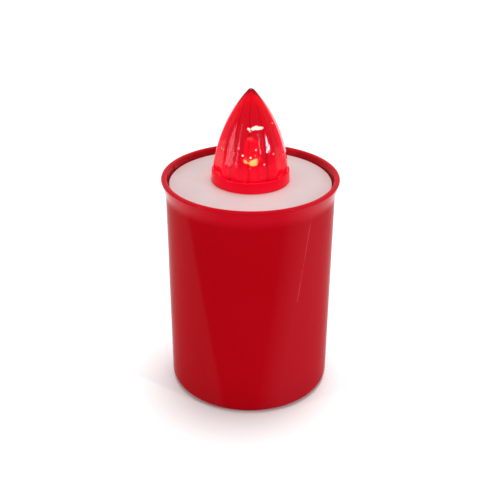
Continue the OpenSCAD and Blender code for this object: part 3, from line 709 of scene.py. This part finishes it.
def makeCollar(red):
    # a turned ring with a seat for the lens and a spigot with snap lugs
    counted = ("lugs", "lugSpan", "lugTurn", "segments")
    s = {key: value * mm for key, value in collarShape.items() if key not in counted}
    foot, top, seat = collarHigh[0], collarHigh[2], plateHigh[2]
    under = collarLow[2] + s["spigotWall"]
    ring = rounded([
        (s["spigot"] - s["spigotWall"], seat),
        (s["spigot"] - s["spigotWall"], collarLow[2], 0.25 * mm),
        (s["spigot"], collarLow[2], 0.25 * mm),
        (s["spigot"], seat, 0.1 * mm),
        (foot, seat, 0.15 * mm),
        (foot - s["draft"], top, s["edgeRound"]),
        (s["socket"], top, 0.12 * mm),
        (s["socket"], seat + s["floor"], 0.15 * mm),
        (s["spigot"] - s["spigotWall"], seat + s["floor"], 0.3 * mm),
        (s["spigot"] - s["spigotWall"], seat),
    ], 5)[:-1]
    shells = [turned(ring, collarShape["segments"], closed=True)]
    section = np.array([
        (s["spigot"] - s["spigotWall"] / 2, under - s["lugHeight"]),
        (s["spigot"] + s["lugOut"] / 4, under - s["lugHeight"]),
        (s["spigot"] + s["lugOut"], under - 0.1 * mm),
        (s["spigot"] - s["spigotWall"] / 2, under - 0.1 * mm),
    ])
    for k in range(collarShape["lugs"]):
        middle = collarShape["lugTurn"] + 360 * k / collarShape["lugs"]
        shells.append(wedge(section, middle, collarShape["lugSpan"]))
    collar = build("red_collar", shells)
    return fit(collar, red, "insert", "collar_red", "flame_collar")


flameShape = {
    "flankRadius": 54.0, "tipRadius": 1.6, "wall": 1.3, "socketGap": 0.05,
    "flutes": 12, "fluteTurn": -18.0, "fluteSharpness": 75.0, "fluteHollow": 0.05, "fluteSwell": 1.022,
    "ribs": 36, "ribDepth": 0.07, "columns": 288, "rows": 56,
    "index": 1.23, "glintTint": (1.0, 0.55, 0.64), "wallTint": (0.82, 0.10, 0.25), "wallDensity": 420.0,
    "tipLean": 0.2, "ribFade": 2.5, "skirtDrop": 0.8,
}


def clearRed(red, base, roughness, transmission, light, strength, relief):
    # clear red plastic: its surface, and the tint that deepens through its wall
    red.surface({
        "Base Color": base,
        "Roughness": roughness,
        "IOR": flameShape["index"],
        "Specular Tint": rgb(*flameShape["glintTint"]),
        "Transmission Weight": transmission,
        "Emission Color": light,
        "Emission Strength": strength,
        "Normal": relief,
    })
    red.depthTint(rgb(*flameShape["wallTint"]), flameShape["wallDensity"])
    return red


def flameRed():
    red = Finish("flame_red")
    x, y, z = red.axes()
    cloud = red.noise(70.0, 2.0)
    # painted shade: the plastic looks deeper, darker and with less glow, along the ridges between two flutes
    phase = (y.math("ARCTAN2", x) - math.radians(flameShape["fluteTurn"])) * (flameShape["flutes"] / 2)
    ridge = ((phase.math("SINE").math("ABSOLUTE") - 0.955) * 30.0).clamp() * (cloud * 0.8 + 0.2)
    climb = ((z - lensLow[2] / mm) / ((lensHigh[2] - lensLow[2]) / mm)).clamp()
    base = red.ramp(climb, [
        (0.0, (0.90, 0.040, 0.110)), (0.55, (0.90, 0.050, 0.110)),
        (0.93, (0.85, 0.030, 0.070)), (1.0, (0.22, 0.010, 0.03)),
    ])
    # painted glow: the lens shines red as if lit from the LED inside, strongest low down and fading toward
    # the tip
    light = red.ramp(climb, [
        (0.0, (1.0, 0.0005, 0.050)), (0.45, (1.0, 0.001, 0.055)),
        (0.88, (0.60, 0.001, 0.016)), (1.0, (0.05, 0.0005, 0.004)),
    ])
    base = red.mix(ridge, base, rgb(0.50, 0.004, 0.02))
    light = red.mix(ridge, light, rgb(0.20, 0.0002, 0.008))
    relief = red.bump(red.noise(50.0, 1.0, (1, 1, 0.3)), 0.05)
    return clearRed(red, base, cloud * 0.05 + 0.02, 0.94, light, 0.12, relief)


paintedSparks = {
    # drops are below the lens's tip, in millimetres; turns are in degrees
    "clusterFocus": 12.0, "clusterTurn": -86.0, "ringDrop": 12.6, "ringWidth": 2.6,
    "patchScale": 150.0, "grainScale": 700.0, "lumpScale": 300.0, "cut": 1.98,
    "dotScale": 420.0, "dotSize": 0.17, "dotDrop": 22.0, "dotWidth": 4.5, "colour": (16.0, 14.0, 6.0),
    "arcTurn": -90.0, "arcDrop": 24.2, "arcBend": 38.0, "arcWidth": 1.5, "arcFocus": 60.0,
    "arcColour": (9.0, 5.2, 0.7), "upperGlow": (0.46, 0.0004, 0.016), "lowerGlow": (0.85, 0.0004, 0.034),
    "lowFade": 5.0,
}


def sparkRed():
    # the lens's inner wall: a painted deep red glow, with painted pale sparks in a ring where the ribs catch
    # the light
    red = Finish("flame_inner")
    x, y, z = red.axes()
    turn = y.math("ARCTAN2", x)
    tipZ = lensHigh[2] / mm
    ring = z.band(tipZ - paintedSparks["ringDrop"], paintedSparks["ringWidth"])
    patch = red.noise(paintedSparks["patchScale"], 1.0, (1, 1, 0.4))
    grain = red.noise(paintedSparks["grainScale"], 2.0, (1, 1, 0.6))
    cluster = (turn - math.radians(paintedSparks["clusterTurn"])).math("COSINE").clamp() ** paintedSparks["clusterFocus"]
    lumps = red.noise(paintedSparks["lumpScale"], 1.0)
    bright = ((ring * 0.7 + grain * 0.9 + lumps * 1.2 + cluster * 0.5 - paintedSparks["cut"]) * 9.0).clamp()
    cells = red.node("TexVoronoi", {}, {"Vector": red.place(), "Scale": paintedSparks["dotScale"]})
    dots = (1 - cells / paintedSparks["dotSize"]).clamp() * z.band(tipZ - paintedSparks["dotDrop"], paintedSparks["dotWidth"])
    dots = (dots * 2.0 * (patch * 4.0 + cluster - 1.8).clamp()).clamp()
    share = (bright + dots).clamp()
    low = ((tipZ - paintedSparks["dotDrop"] - z) / paintedSparks["lowFade"]).clamp()
    body = red.mix(low, rgb(*paintedSparks["upperGlow"]), rgb(*paintedSparks["lowerGlow"]))
    glow = red.mix(share, body, rgb(*paintedSparks["colour"]))
    # a painted glint: the LED's flange, drawn out to a crescent by the wall
    aim = (turn - math.radians(paintedSparks["arcTurn"])).math("COSINE").clamp()
    bent = z - (1.0 - aim) * paintedSparks["arcBend"] - (tipZ - paintedSparks["arcDrop"])
    crescent = bent.band(0.0, paintedSparks["arcWidth"])
    front = ((aim ** paintedSparks["arcFocus"] - 0.15) * 4.0).clamp()
    crescent = ((crescent + lumps * 2.4 - 1.75) * 3.0).clamp() * front
    glow = red.mix(crescent, glow, rgb(*paintedSparks["arcColour"]))
    ribs = (turn * float(flameShape["ribs"])).math("SINE")
    base = red.mix(ribs * 0.25 + 0.25, rgb(0.96, 0.36, 0.46), rgb(0.90, 0.22, 0.32))
    relief = red.bump(ribs * 0.5 + red.noise(80.0, 1.0), 0.03)
    return clearRed(red, base, grain * 0.06 + 0.02, 0.96, glow, 1.0, relief)


def flankProfile():
    # outer flank: one arc from the foot that runs into the round tip; inner flank: the same centre
    radius, tip = flameShape["flankRadius"] * mm, flameShape["tipRadius"] * mm
    foot = np.array([lensHigh[0], collarHigh[2]])
    tipCentre = np.array([0, lensHigh[2] - tip])
    reach = tipCentre - foot
    length = np.hypot(*reach)
    along = (radius ** 2 - (radius - tip) ** 2 + length ** 2) / (2 * length)
    across = math.sqrt(radius ** 2 - along ** 2)
    centre = foot + along * reach / length + across * np.array([-reach[1], reach[0]]) / length
    footAngle = math.degrees(math.atan2(*(foot - centre)[::-1]))
    tipAngle = math.degrees(math.atan2(*(tipCentre - centre)[::-1]))
    innerRadius = radius - flameShape["wall"] * mm
    innerTip = math.degrees(math.acos(min(1.0, -centre[0] / innerRadius)))
    rows = flameShape["rows"]
    point = arc(tipCentre, tip, tipAngle, 90, 8)[1:]
    outer = np.vstack([arc(centre, radius, footAngle, tipAngle, rows), point])
    inner = arc(centre, innerRadius, innerTip, footAngle, rows)
    inner[0, 0] = 0
    return outer, inner


def makeFlame(red, sparkling):
    outer, inner = flankProfile()
    outer[-1, 0] = 0
    socket = (collarShape["socket"] - flameShape["socketGap"]) * mm
    wall = flameShape["wall"] * mm
    skirt = rounded([
        (inner[-1, 0], inner[-1, 1]), (socket - wall, collarHigh[2] - flameShape["skirtDrop"] * mm, 0.4 * mm),
        (socket - wall, lensLow[2], 0.2 * mm), (socket, lensLow[2], 0.2 * mm),
        (socket, collarHigh[2], 0.05 * mm), (outer[0, 0], outer[0, 1]),
    ])
    profile = np.vstack([inner, skirt[1:-1], outer])
    kind = np.concatenate([np.ones(len(inner)), np.zeros(len(skirt) - 2), np.full(len(outer), 2)])
    count = flameShape["columns"]
    angle = np.linspace(0, 2 * np.pi, count, endpoint=False)[None, :]
    # a polygon with softly rounded corners: the p-norm of the distances to its sides
    flutes, power = flameShape["flutes"], flameShape["fluteSharpness"]
    step = 2 * np.pi / flutes
    local = (angle - math.radians(flameShape["fluteTurn"]) + np.pi / 2) % step - step / 2
    sides = np.clip(np.cos(local[..., None] + step * np.arange(-2, 3)), 0, None)
    polygon = math.cos(step / 2) / (sides ** power).sum(-1) ** (1 / power)
    hollow = flameShape["fluteHollow"] * mm / lensHigh[0]
    polygon = polygon - hollow * np.cos(local * flutes / 2) ** 2
    polygon = polygon / polygon.max() * flameShape["fluteSwell"]
    z, r = profile[:, 1, None], profile[:, 0, None]
    share = np.where(kind[:, None] == 2, 1.0, 0.0)
    fade = np.clip(r / (flameShape["ribFade"] * mm), 0, 1)
    wave = flameShape["ribDepth"] * mm * fade * np.cos(flameShape["ribs"] * angle)
    ribs = np.where(kind[:, None] == 1, wave, 0)
    spread = r * (1 + share * fade * (polygon - 1)) - np.abs(ribs) * (r > 0)
    points = np.stack([spread * np.cos(angle), spread * np.sin(angle), z + 0 * angle], -1)
    flame = build("fluted_flame", [(points.reshape(-1, 3), gridQuads(len(profile), count))], 30)
    fit(flame, red, "insert", "lens_red", "flame_lens")
    secondFinish(flame, sparkling, lambda centres, normals: (centres[:, 2] > collarHigh[2]) & (
        (normals[:, :2] * centres[:, :2]).sum(1) + normals[:, 2] * flameShape["tipLean"] * mm < 0))
    return flame


ledShape = {
    "flange": 1.0, "dome": 2.5, "cup": 1.05, "cupDepth": 0.7, "cupRise": 3.4, "cupOff": -0.25, "die": 0.34,
    "pitch": 1.27, "lead": 0.25, "wire": 0.03, "loop": 0.9,
}


def makeLed():
    # a turned body, flange, cylinder and hemisphere, with its leads' frame, die and bond wire inside
    clear = Finish("led_epoxy")
    z = clear.axes()[2]
    # the flange's rim and the top of the dome carry the light
    rim = z.band(ledLow[2] / mm + ledShape["flange"] * 0.55, 0.8)
    crown = ((z - ledHigh[2] / mm + 0.8) / 0.8).clamp()
    broken = ((clear.noise(700.0, 2.0) - 0.36) * 8.0).clamp()
    hot = (rim * broken * 1.1 + crown * broken).clamp()
    clear.surface({
        "Base Color": rgb(1.0, 0.97, 0.90),
        "Roughness": clear.noise(300.0) * 0.04 + 0.02,
        "IOR": 1.53,
        "Transmission Weight": 0.9,
        "Emission Color": clear.ramp(hot, [
            (0.0, (0.012, 0.001, 0.0005)), (0.6, (0.66, 0.56, 0.12)), (1.0, (0.80, 0.74, 0.26)),
        ]),
        "Emission Strength": 40.0,
        "Normal": clear.bump(clear.noise(120.0), 0.02),
    })
    body = ledHigh[2] - ledShape["dome"] * mm
    flangeTop = ledLow[2] + ledShape["flange"] * mm
    profile = np.vstack([
        rounded([(0, ledLow[2]), (ledHigh[1], ledLow[2], 0.2 * mm), (ledHigh[1], flangeTop, 0.2 * mm),
                 (ledShape["dome"] * mm, flangeTop, 0.15 * mm), (ledShape["dome"] * mm, body)]),
        arc((0, body), ledShape["dome"] * mm, 0, 90, 14)[1:],
    ])
    profile[-1, 0] = 0
    epoxy = build("led_epoxy", [turned(profile, 64)])
    fit(epoxy, clear, "insert", "led_clear", "led")

    tin = Finish("led_frame")
    gloss = tin.noise(200.0) * 0.2 + 0.2
    tin.surface({"Base Color": rgb(0.80, 0.79, 0.76), "Metallic": 1.0, "Roughness": gloss})
    pitch, thick, off = (ledShape[name] * mm for name in ("pitch", "lead", "cupOff"))
    cupLowZ = ledLow[2] + ledShape["cupRise"] * mm
    cupTop = cupLowZ + ledShape["cupDepth"] * mm
    cupR = ledShape["cup"] * mm
    bowl = rounded([
        (0, cupLowZ - 0.3 * mm), (cupR * 0.8, cupLowZ - 0.3 * mm, 0.1 * mm), (cupR, cupTop, 0.05 * mm),
        (cupR * 0.85, cupTop, 0.05 * mm), (cupR * 0.5, cupLowZ, 0.1 * mm), (0, cupLowZ),
    ])
    frameParts = [
        turned(bowl, 40, (off, 0)),
        block((-pitch - thick, -thick, ledLow[2] + 0.05 * mm), (-pitch + thick, thick, cupLowZ - 0.6 * mm)),
        block((-pitch - thick, -thick, cupLowZ - 0.8 * mm), (0.3 * mm, thick, cupLowZ - 0.25 * mm)),
        block((pitch - thick, -thick, ledLow[2] + 0.05 * mm), (pitch + thick, thick, cupTop - 0.1 * mm)),
        block((0.9 * mm, -thick, cupTop - 0.5 * mm), (pitch + thick, thick, cupTop)),
    ]
    fit(build("led_frame", frameParts), tin, "insert", "tinned_steel")

    gold = Finish("bond_wire")
    gold.surface({"Base Color": rgb(0.95, 0.72, 0.30), "Metallic": 1.0, "Roughness": 0.25})
    t = np.linspace(0, 1, 24)
    # the bond wire rises as sin(pi t)^0.8 over a straight line from the die to the other lead
    rise = ledShape["die"] + ledShape["loop"] * np.sin(np.pi * t) ** 0.8 + 0.35 * t
    loop = np.stack([off + 1.3 * t * mm, 0 * t, cupLowZ + rise * mm], 1)
    fit(build("bond_wire", [tube(loop, ledShape["wire"] * mm, 8)]), gold, "insert", "contact_brass")

    die = Finish("led_die")
    die.surface({
        "Base Color": rgb(0.9, 0.75, 0.25), "Roughness": 0.5,
        "Emission Color": rgb(1.0, 0.72, 0.28), "Emission Strength": 60.0,
    })
    half = ledShape["die"] * mm
    chip = block((off - half, -half, cupLowZ), (off + half, half, cupLowZ + half))
    fit(build("led_die", [chip]), die, "insert", "led_clear")


def plastic(name, dark, light, cloudScale, gloss, grain):
    # two tones in a soft cloud that also varies the gloss, under a fine grain
    finish = Finish(name)
    cloud = finish.noise(cloudScale, 3.0)
    finish.surface({
        "Base Color": finish.ramp(cloud, [(0.3, dark), (0.7, light)]),
        "Roughness": cloud * gloss[0] + gloss[1],
        "Normal": finish.bump(finish.noise(*grain[:2]), grain[2]),
    })
    return finish


def makePost():
    white = plastic("post_white", (0.76, 0.75, 0.73), (0.84, 0.83, 0.81),
                    90.0, (0.15, 0.35), (700.0, 2.0, 0.01))
    dress("led_post", "led_spacer", 0.18, white, "insert", "white_plastic")


boardFacts = {
    "trackPitch": 2.54, "trackHalf": 0.16, "chipHalf": 1.97, "resistorHalf": 3.12,
    "bandsFrom": 1.5, "bandHalf": 0.42, "stripeHalf": 0.9,
    # place along the resistor, colour
    "bands": [
        (0.8, (0.45, 0.12, 0.02)), (2.2, (0.02, 0.01, 0.01)),
        (3.4, (0.30, 0.05, 0.02)), (5.2, (0.62, 0.42, 0.10)),
    ],
}


def makeBoard():
    mask = Finish("board_green")
    x, y = mask.axes()[:2]
    # copper tracks show as slightly raised lines under the green mask
    trackX, trackY = (
        (offset / boardFacts["trackPitch"]).math("FRACT").band(0.5, boardFacts["trackHalf"])
        for offset in (x, y)
    )
    pick = mask.noise(160.0, 0.0).above(0.5)
    track = (trackX * pick + trackY * (1 - pick)).clamp().above(0.25)
    glass = mask.noise(800.0, 2.0)
    base = mask.mix(track, rgb(0.006, 0.070, 0.022), rgb(0.020, 0.150, 0.050))
    mask.surface({
        "Base Color": mask.mix(glass * 0.25, base, rgb(0.03, 0.11, 0.05)),
        "Roughness": glass * 0.1 + 0.28,
        "Normal": mask.bump(track * 0.03 + glass * 0.006, 1.0),
    })
    dress("circuit_board", "green_board", 0.12, mask, "insert", "board_green")

    epoxy = Finish("chip_black")
    epoxy.surface({
        "Base Color": epoxy.ramp(epoxy.noise(300.0, 3.0), [
            (0.3, (0.012, 0.012, 0.013)), (0.7, (0.028, 0.028, 0.030)),
        ]),
        "Roughness": epoxy.noise(900.0) * 0.2 + 0.45,
        "Normal": epoxy.bump(epoxy.noise(2500.0, 2.0), 0.006),
    })
    low, high = span("flicker_chip")
    chip = dress("flicker_chip", "driver_chip", 0.05, epoxy, "insert", "chip_black")
    middle = (low[1] + high[1]) / 2
    secondFinish(chip, metal("chip_legs", (0.72, 0.71, 0.68), 0.3),
                 lambda centres, normals: np.abs(centres[:, 1] - middle) > boardFacts["chipHalf"] * mm)

    bands = Finish("resistor_bands")
    x = bands.axes()[0]
    low, high = span("resistor")
    start = low[0] / mm + boardFacts["bandsFrom"]
    base = bands.ramp(bands.noise(200.0), [(0.3, (0.52, 0.36, 0.20)), (0.7, (0.58, 0.42, 0.25))])
    for offset, colour in boardFacts["bands"]:
        base = bands.mix(x.band(start + offset, boardFacts["bandHalf"]).above(0.15), base, rgb(*colour))
    bands.surface({"Base Color": base, "Roughness": 0.32, "Normal": bands.bump(bands.noise(500.0), 0.01)})
    resistor = dress("resistor", "banded_resistor", 0.0, bands, "insert", "resistor_tan")
    bodyMiddle = (low[0] + high[0]) / 2
    reach = boardFacts["resistorHalf"] * mm
    secondFinish(resistor, metal("resistor_legs", (0.75, 0.74, 0.72), 0.25),
                 lambda centres, normals: np.abs(centres[:, 0] - bodyMiddle) > reach)

    sleeve = Finish("capacitor_sleeve")
    x = sleeve.axes()[0]
    low, high = span("capacitor")
    stripe = (x - low[0] / mm).band(0.0, boardFacts["stripeHalf"]).above(0.3)
    sleeve.surface({
        "Base Color": sleeve.mix(stripe, rgb(0.012, 0.022, 0.075), rgb(0.62, 0.64, 0.68)),
        "Roughness": sleeve.noise(300.0) * 0.1 + 0.2,
        "Normal": sleeve.bump(sleeve.noise(90.0), 0.03),
    })
    dress("capacitor", "small_capacitor", 0.12, sleeve, "insert", "capacitor_sleeve")


def metal(name, colour, roughness, brushed=0.0):
    # plated or drawn metal, with fine wear in its gloss
    finish = Finish(name)
    wear = finish.noise(260.0, 4.0)
    lines = finish.noise(1500.0, 2.0, (1, 1, 0.03)) if brushed else wear
    finish.surface({
        "Base Color": finish.mix(wear * 0.5, rgb(*colour), rgb(*(0.7 * c for c in colour))),
        "Metallic": 1.0,
        "Roughness": wear * 0.18 + roughness,
        "Normal": finish.bump(lines, 0.004 + brushed),
    })
    return finish


solderFacts = {"wireRadius": 0.65, "legInset": 0.28, "sunk": 0.05}


def makeSolder():
    # a drop under the board at each joint: foot, shoulder and rounded tip, turned about its own axis
    tin = metal("solder_tin", (0.70, 0.70, 0.69), 0.16)
    board = boardLow[2]
    (low, high), (capLow, capHigh) = span("resistor"), span("capacitor")
    wireHigh = span("wire_red")[1] - solderFacts["wireRadius"] * mm
    middle, capMiddle = (low + high) / 2, (capLow + capHigh) / 2
    inset, pitch = solderFacts["legInset"] * mm, ledShape["pitch"] * mm
    spots = [
        (wireHigh[0], wireHigh[1], 1.0),
        (low[0] + inset, middle[1], 0.75), (high[0] - inset, middle[1], 0.75),
        (capMiddle[0] - mm, capMiddle[1], 0.7), (capMiddle[0] + mm, capMiddle[1], 0.7),
        (-pitch, 0, 0.8), (pitch, 0, 0.8),
    ]
    shells = []
    for x, y, radius in spots:
        r = radius * mm
        foot = board + solderFacts["sunk"] * mm
        profile = rounded([
            (0, foot), (r, foot, 0.05 * mm), (r * 0.45, board - r * 0.5, r * 0.5),
            (0.3 * r, board - r * 0.95, 0.1 * mm), (0, board - r),
        ])
        shells.append(turned(profile, 24, (x, y)))
    fit(build("solder_joints", shells), tin, "insert", "tinned_steel")


cellShape = {
    "radius": 13.1, "sleeve": 0.3, "inset": 1.0, "bevel": 0.8, "button": 3.2, "buttonHeight": 2.0,
    "groove": 5.2, "length": 50.0, "crownFrom": 35.5, "footLine": 4.2,
}


def roundedMm(corners):
    # a rounded line from corners in millimetres, each with a radius or none
    return rounded([(r * mm, z * mm, sum(ease) * mm) for r, z, *ease in corners])


def cellProfile():
    # the can's outline from the middle of its flat end to the middle of its button
    s = cellShape
    can = s["radius"] - s["sleeve"]
    shoulder = s["length"] - s["buttonHeight"]
    corners = [
        (0, 0.35), (8.6, 0.35, 0.3), (9.0, 0, 0.3), (can - s["bevel"], 0, 0.5),
        (can, s["bevel"], 0.5), (can, shoulder - s["bevel"], 0.5),
        (can - s["bevel"], shoulder, 0.5), (s["groove"] + 0.5, shoulder, 0.2),
        (s["groove"], shoulder - 0.5, 0.2), (s["button"] + 0.2, shoulder - 0.5, 0.15),
        (s["button"], shoulder - 0.3, 0.2), (s["button"], s["length"], 0.6), (0, s["length"]),
    ]
    return roundedMm(corners)


def sleeveOutline():
    # the shrunk sleeve's closed outline, drawn in at both ends
    s = cellShape
    can = s["radius"] - s["sleeve"]
    high = s["length"] - s["buttonHeight"] - s["inset"]
    low = s["inset"]
    corners = [
        (can, low + 1), (can - 0.02, low, 0.1), (s["radius"] - 0.05, low, 0.15),
        (s["radius"], low + 0.6, 0.2), (s["radius"], high - 0.6, 0.2),
        (s["radius"] - 0.05, high, 0.15), (can - 0.02, high, 0.1), (can, high - 1), (can, low + 1),
    ]
    return roundedMm(corners)[:-1]


def makeCells():
    steel = metal("cell_steel", (0.72, 0.71, 0.69), 0.22)
    for name, up in (("cell_left", True), ("cell_right", False)):
        low, high = span(name)
        middle = ((low + high) / 2)[:2]
        wrap = Finish(name + "_print")
        z = wrap.axes()[2]
        # height on the cell, from its flat end
        height = z - low[2] / mm if up else high[2] / mm - z
        crown = height.above(cellShape["crownFrom"])
        line = (height.band(cellShape["crownFrom"], 0.5).above(0.1)
                + height.band(cellShape["footLine"], 0.4).above(0.1))
        base = wrap.mix(crown, rgb(0.012, 0.060, 0.240), rgb(0.55, 0.42, 0.16))
        base = wrap.mix(line.clamp(), base, rgb(0.80, 0.80, 0.78))
        wrap.surface({
            "Base Color": base,
            "Metallic": crown * 0.6,
            "Roughness": wrap.noise(120.0, 3.0) * 0.12 + 0.2,
            "Normal": wrap.bump(wrap.noise(60.0, 2.0), 0.05),
        })
        for part, profile, finish, slotName in (
            ("", cellProfile(), steel, "cell_can"), ("_sleeve", sleeveOutline(), wrap, "cell_sleeve"),
        ):
            line = profile.copy()
            line[:, 1] = low[2] + profile[:, 1] if up else high[2] - profile[:, 1]
            shell = turned(line, 128, middle, closed=part == "_sleeve")
            piece = build(name + ("_wrap" if part else "_case"), [shell])
            fit(piece, finish, "insert", slotName, name + part)


def makeCradle():
    black = plastic("cradle_black", (0.022, 0.022, 0.024), (0.034, 0.034, 0.037),
                    60.0, (0.15, 0.38), (1200.0, 3.0, 0.008))
    dress("battery_cradle", "cell_cradle", 0.25, black, "insert", "cradle_black")


def makeMetalParts():
    steel = metal("screw_steel", (0.62, 0.62, 0.63), 0.24)
    tin = metal("contact_nickel", (0.76, 0.75, 0.71), 0.2)
    spring = metal("spring_nickel", (0.78, 0.77, 0.74), 0.14)
    brass = metal("pin_brass", (0.80, 0.60, 0.28), 0.24)
    for node in ("board_screws", "cradle_screws", "switch_screws"):
        dress(node, node + "_pan_head", 0.06, steel, "insert", "steel")
    for node in ("bridge_plate", "positive_contact", "negative_contact"):
        dress(node, node + "_strip", 0.08, tin, "insert", "tinned_steel")
    for node in ("bridge_spring", "negative_spring"):
        dress(node, node + "_coil", 0.0, spring, "insert", "tinned_steel", smoothing=1, creaseAngle=60)
    dress("led_leads", "led_legs", 0.06, tin, "insert", "tinned_steel")
    dress("switch_frame", "switch_shell", 0.12, steel, "insert", "steel")
    dress("switch_pins", "switch_terminals", 0.05, brass, "insert", "contact_brass")
    dress("switch_wiper", "sliding_contact", 0.04, brass, "switch", "contact_brass")


def makeSwitchPlastics():
    brown = Finish("switch_laminate")
    layer = brown.noise(400.0, 3.0, (1, 1, 6))
    brown.surface({
        "Base Color": brown.ramp(layer, [(0.3, (0.070, 0.028, 0.012)), (0.7, (0.130, 0.058, 0.026))]),
        "Roughness": layer * 0.2 + 0.5,
        "Normal": brown.bump(layer, 0.01),
    })
    dress("switch_base", "switch_insulator", 0.08, brown, "insert", "switch_brown")
    black = plastic("knob_black", (0.012, 0.012, 0.013), (0.022, 0.022, 0.024),
                    200.0, (0.2, 0.32), (1500.0, 2.0, 0.006))
    dress("switch_knob", "sliding_knob", 0.12, black, "switch", "knob_black")


wireColours = {
    "wire_red": (0.50, 0.010, 0.012), "wire_white": (0.78, 0.77, 0.74), "wire_black": (0.016, 0.016, 0.017),
}


def makeWires():
    for node, colour in wireColours.items():
        skin = Finish(node + "_skin")
        cloud = skin.noise(150.0, 2.0)
        skin.surface({
            "Base Color": skin.mix(cloud * 0.4, rgb(*colour), rgb(*(0.75 * c for c in colour))),
            "Roughness": cloud * 0.15 + 0.3,
            "Normal": skin.bump(cloud, 0.02),
        })
        dress(node, node + "_lead", 0.0, skin, "insert", node, smoothing=1, creaseAngle=60)


makeCamera()
makeStudio()
print("studio ready")
makeCup(cupRed())
print("cup done")
makePlate(milkyWhite())
print("plate done")
makeCollar(collarRed())
makeFlame(flameRed(), sparkRed())
print("flame done")
makeLed()
makePost()
makeBoard()
makeSolder()
print("electronics done")
makeCradle()
makeCells()
makeMetalParts()
makeSwitchPlastics()
makeWires()
print("insides done")

bpy.context.view_layer.update()
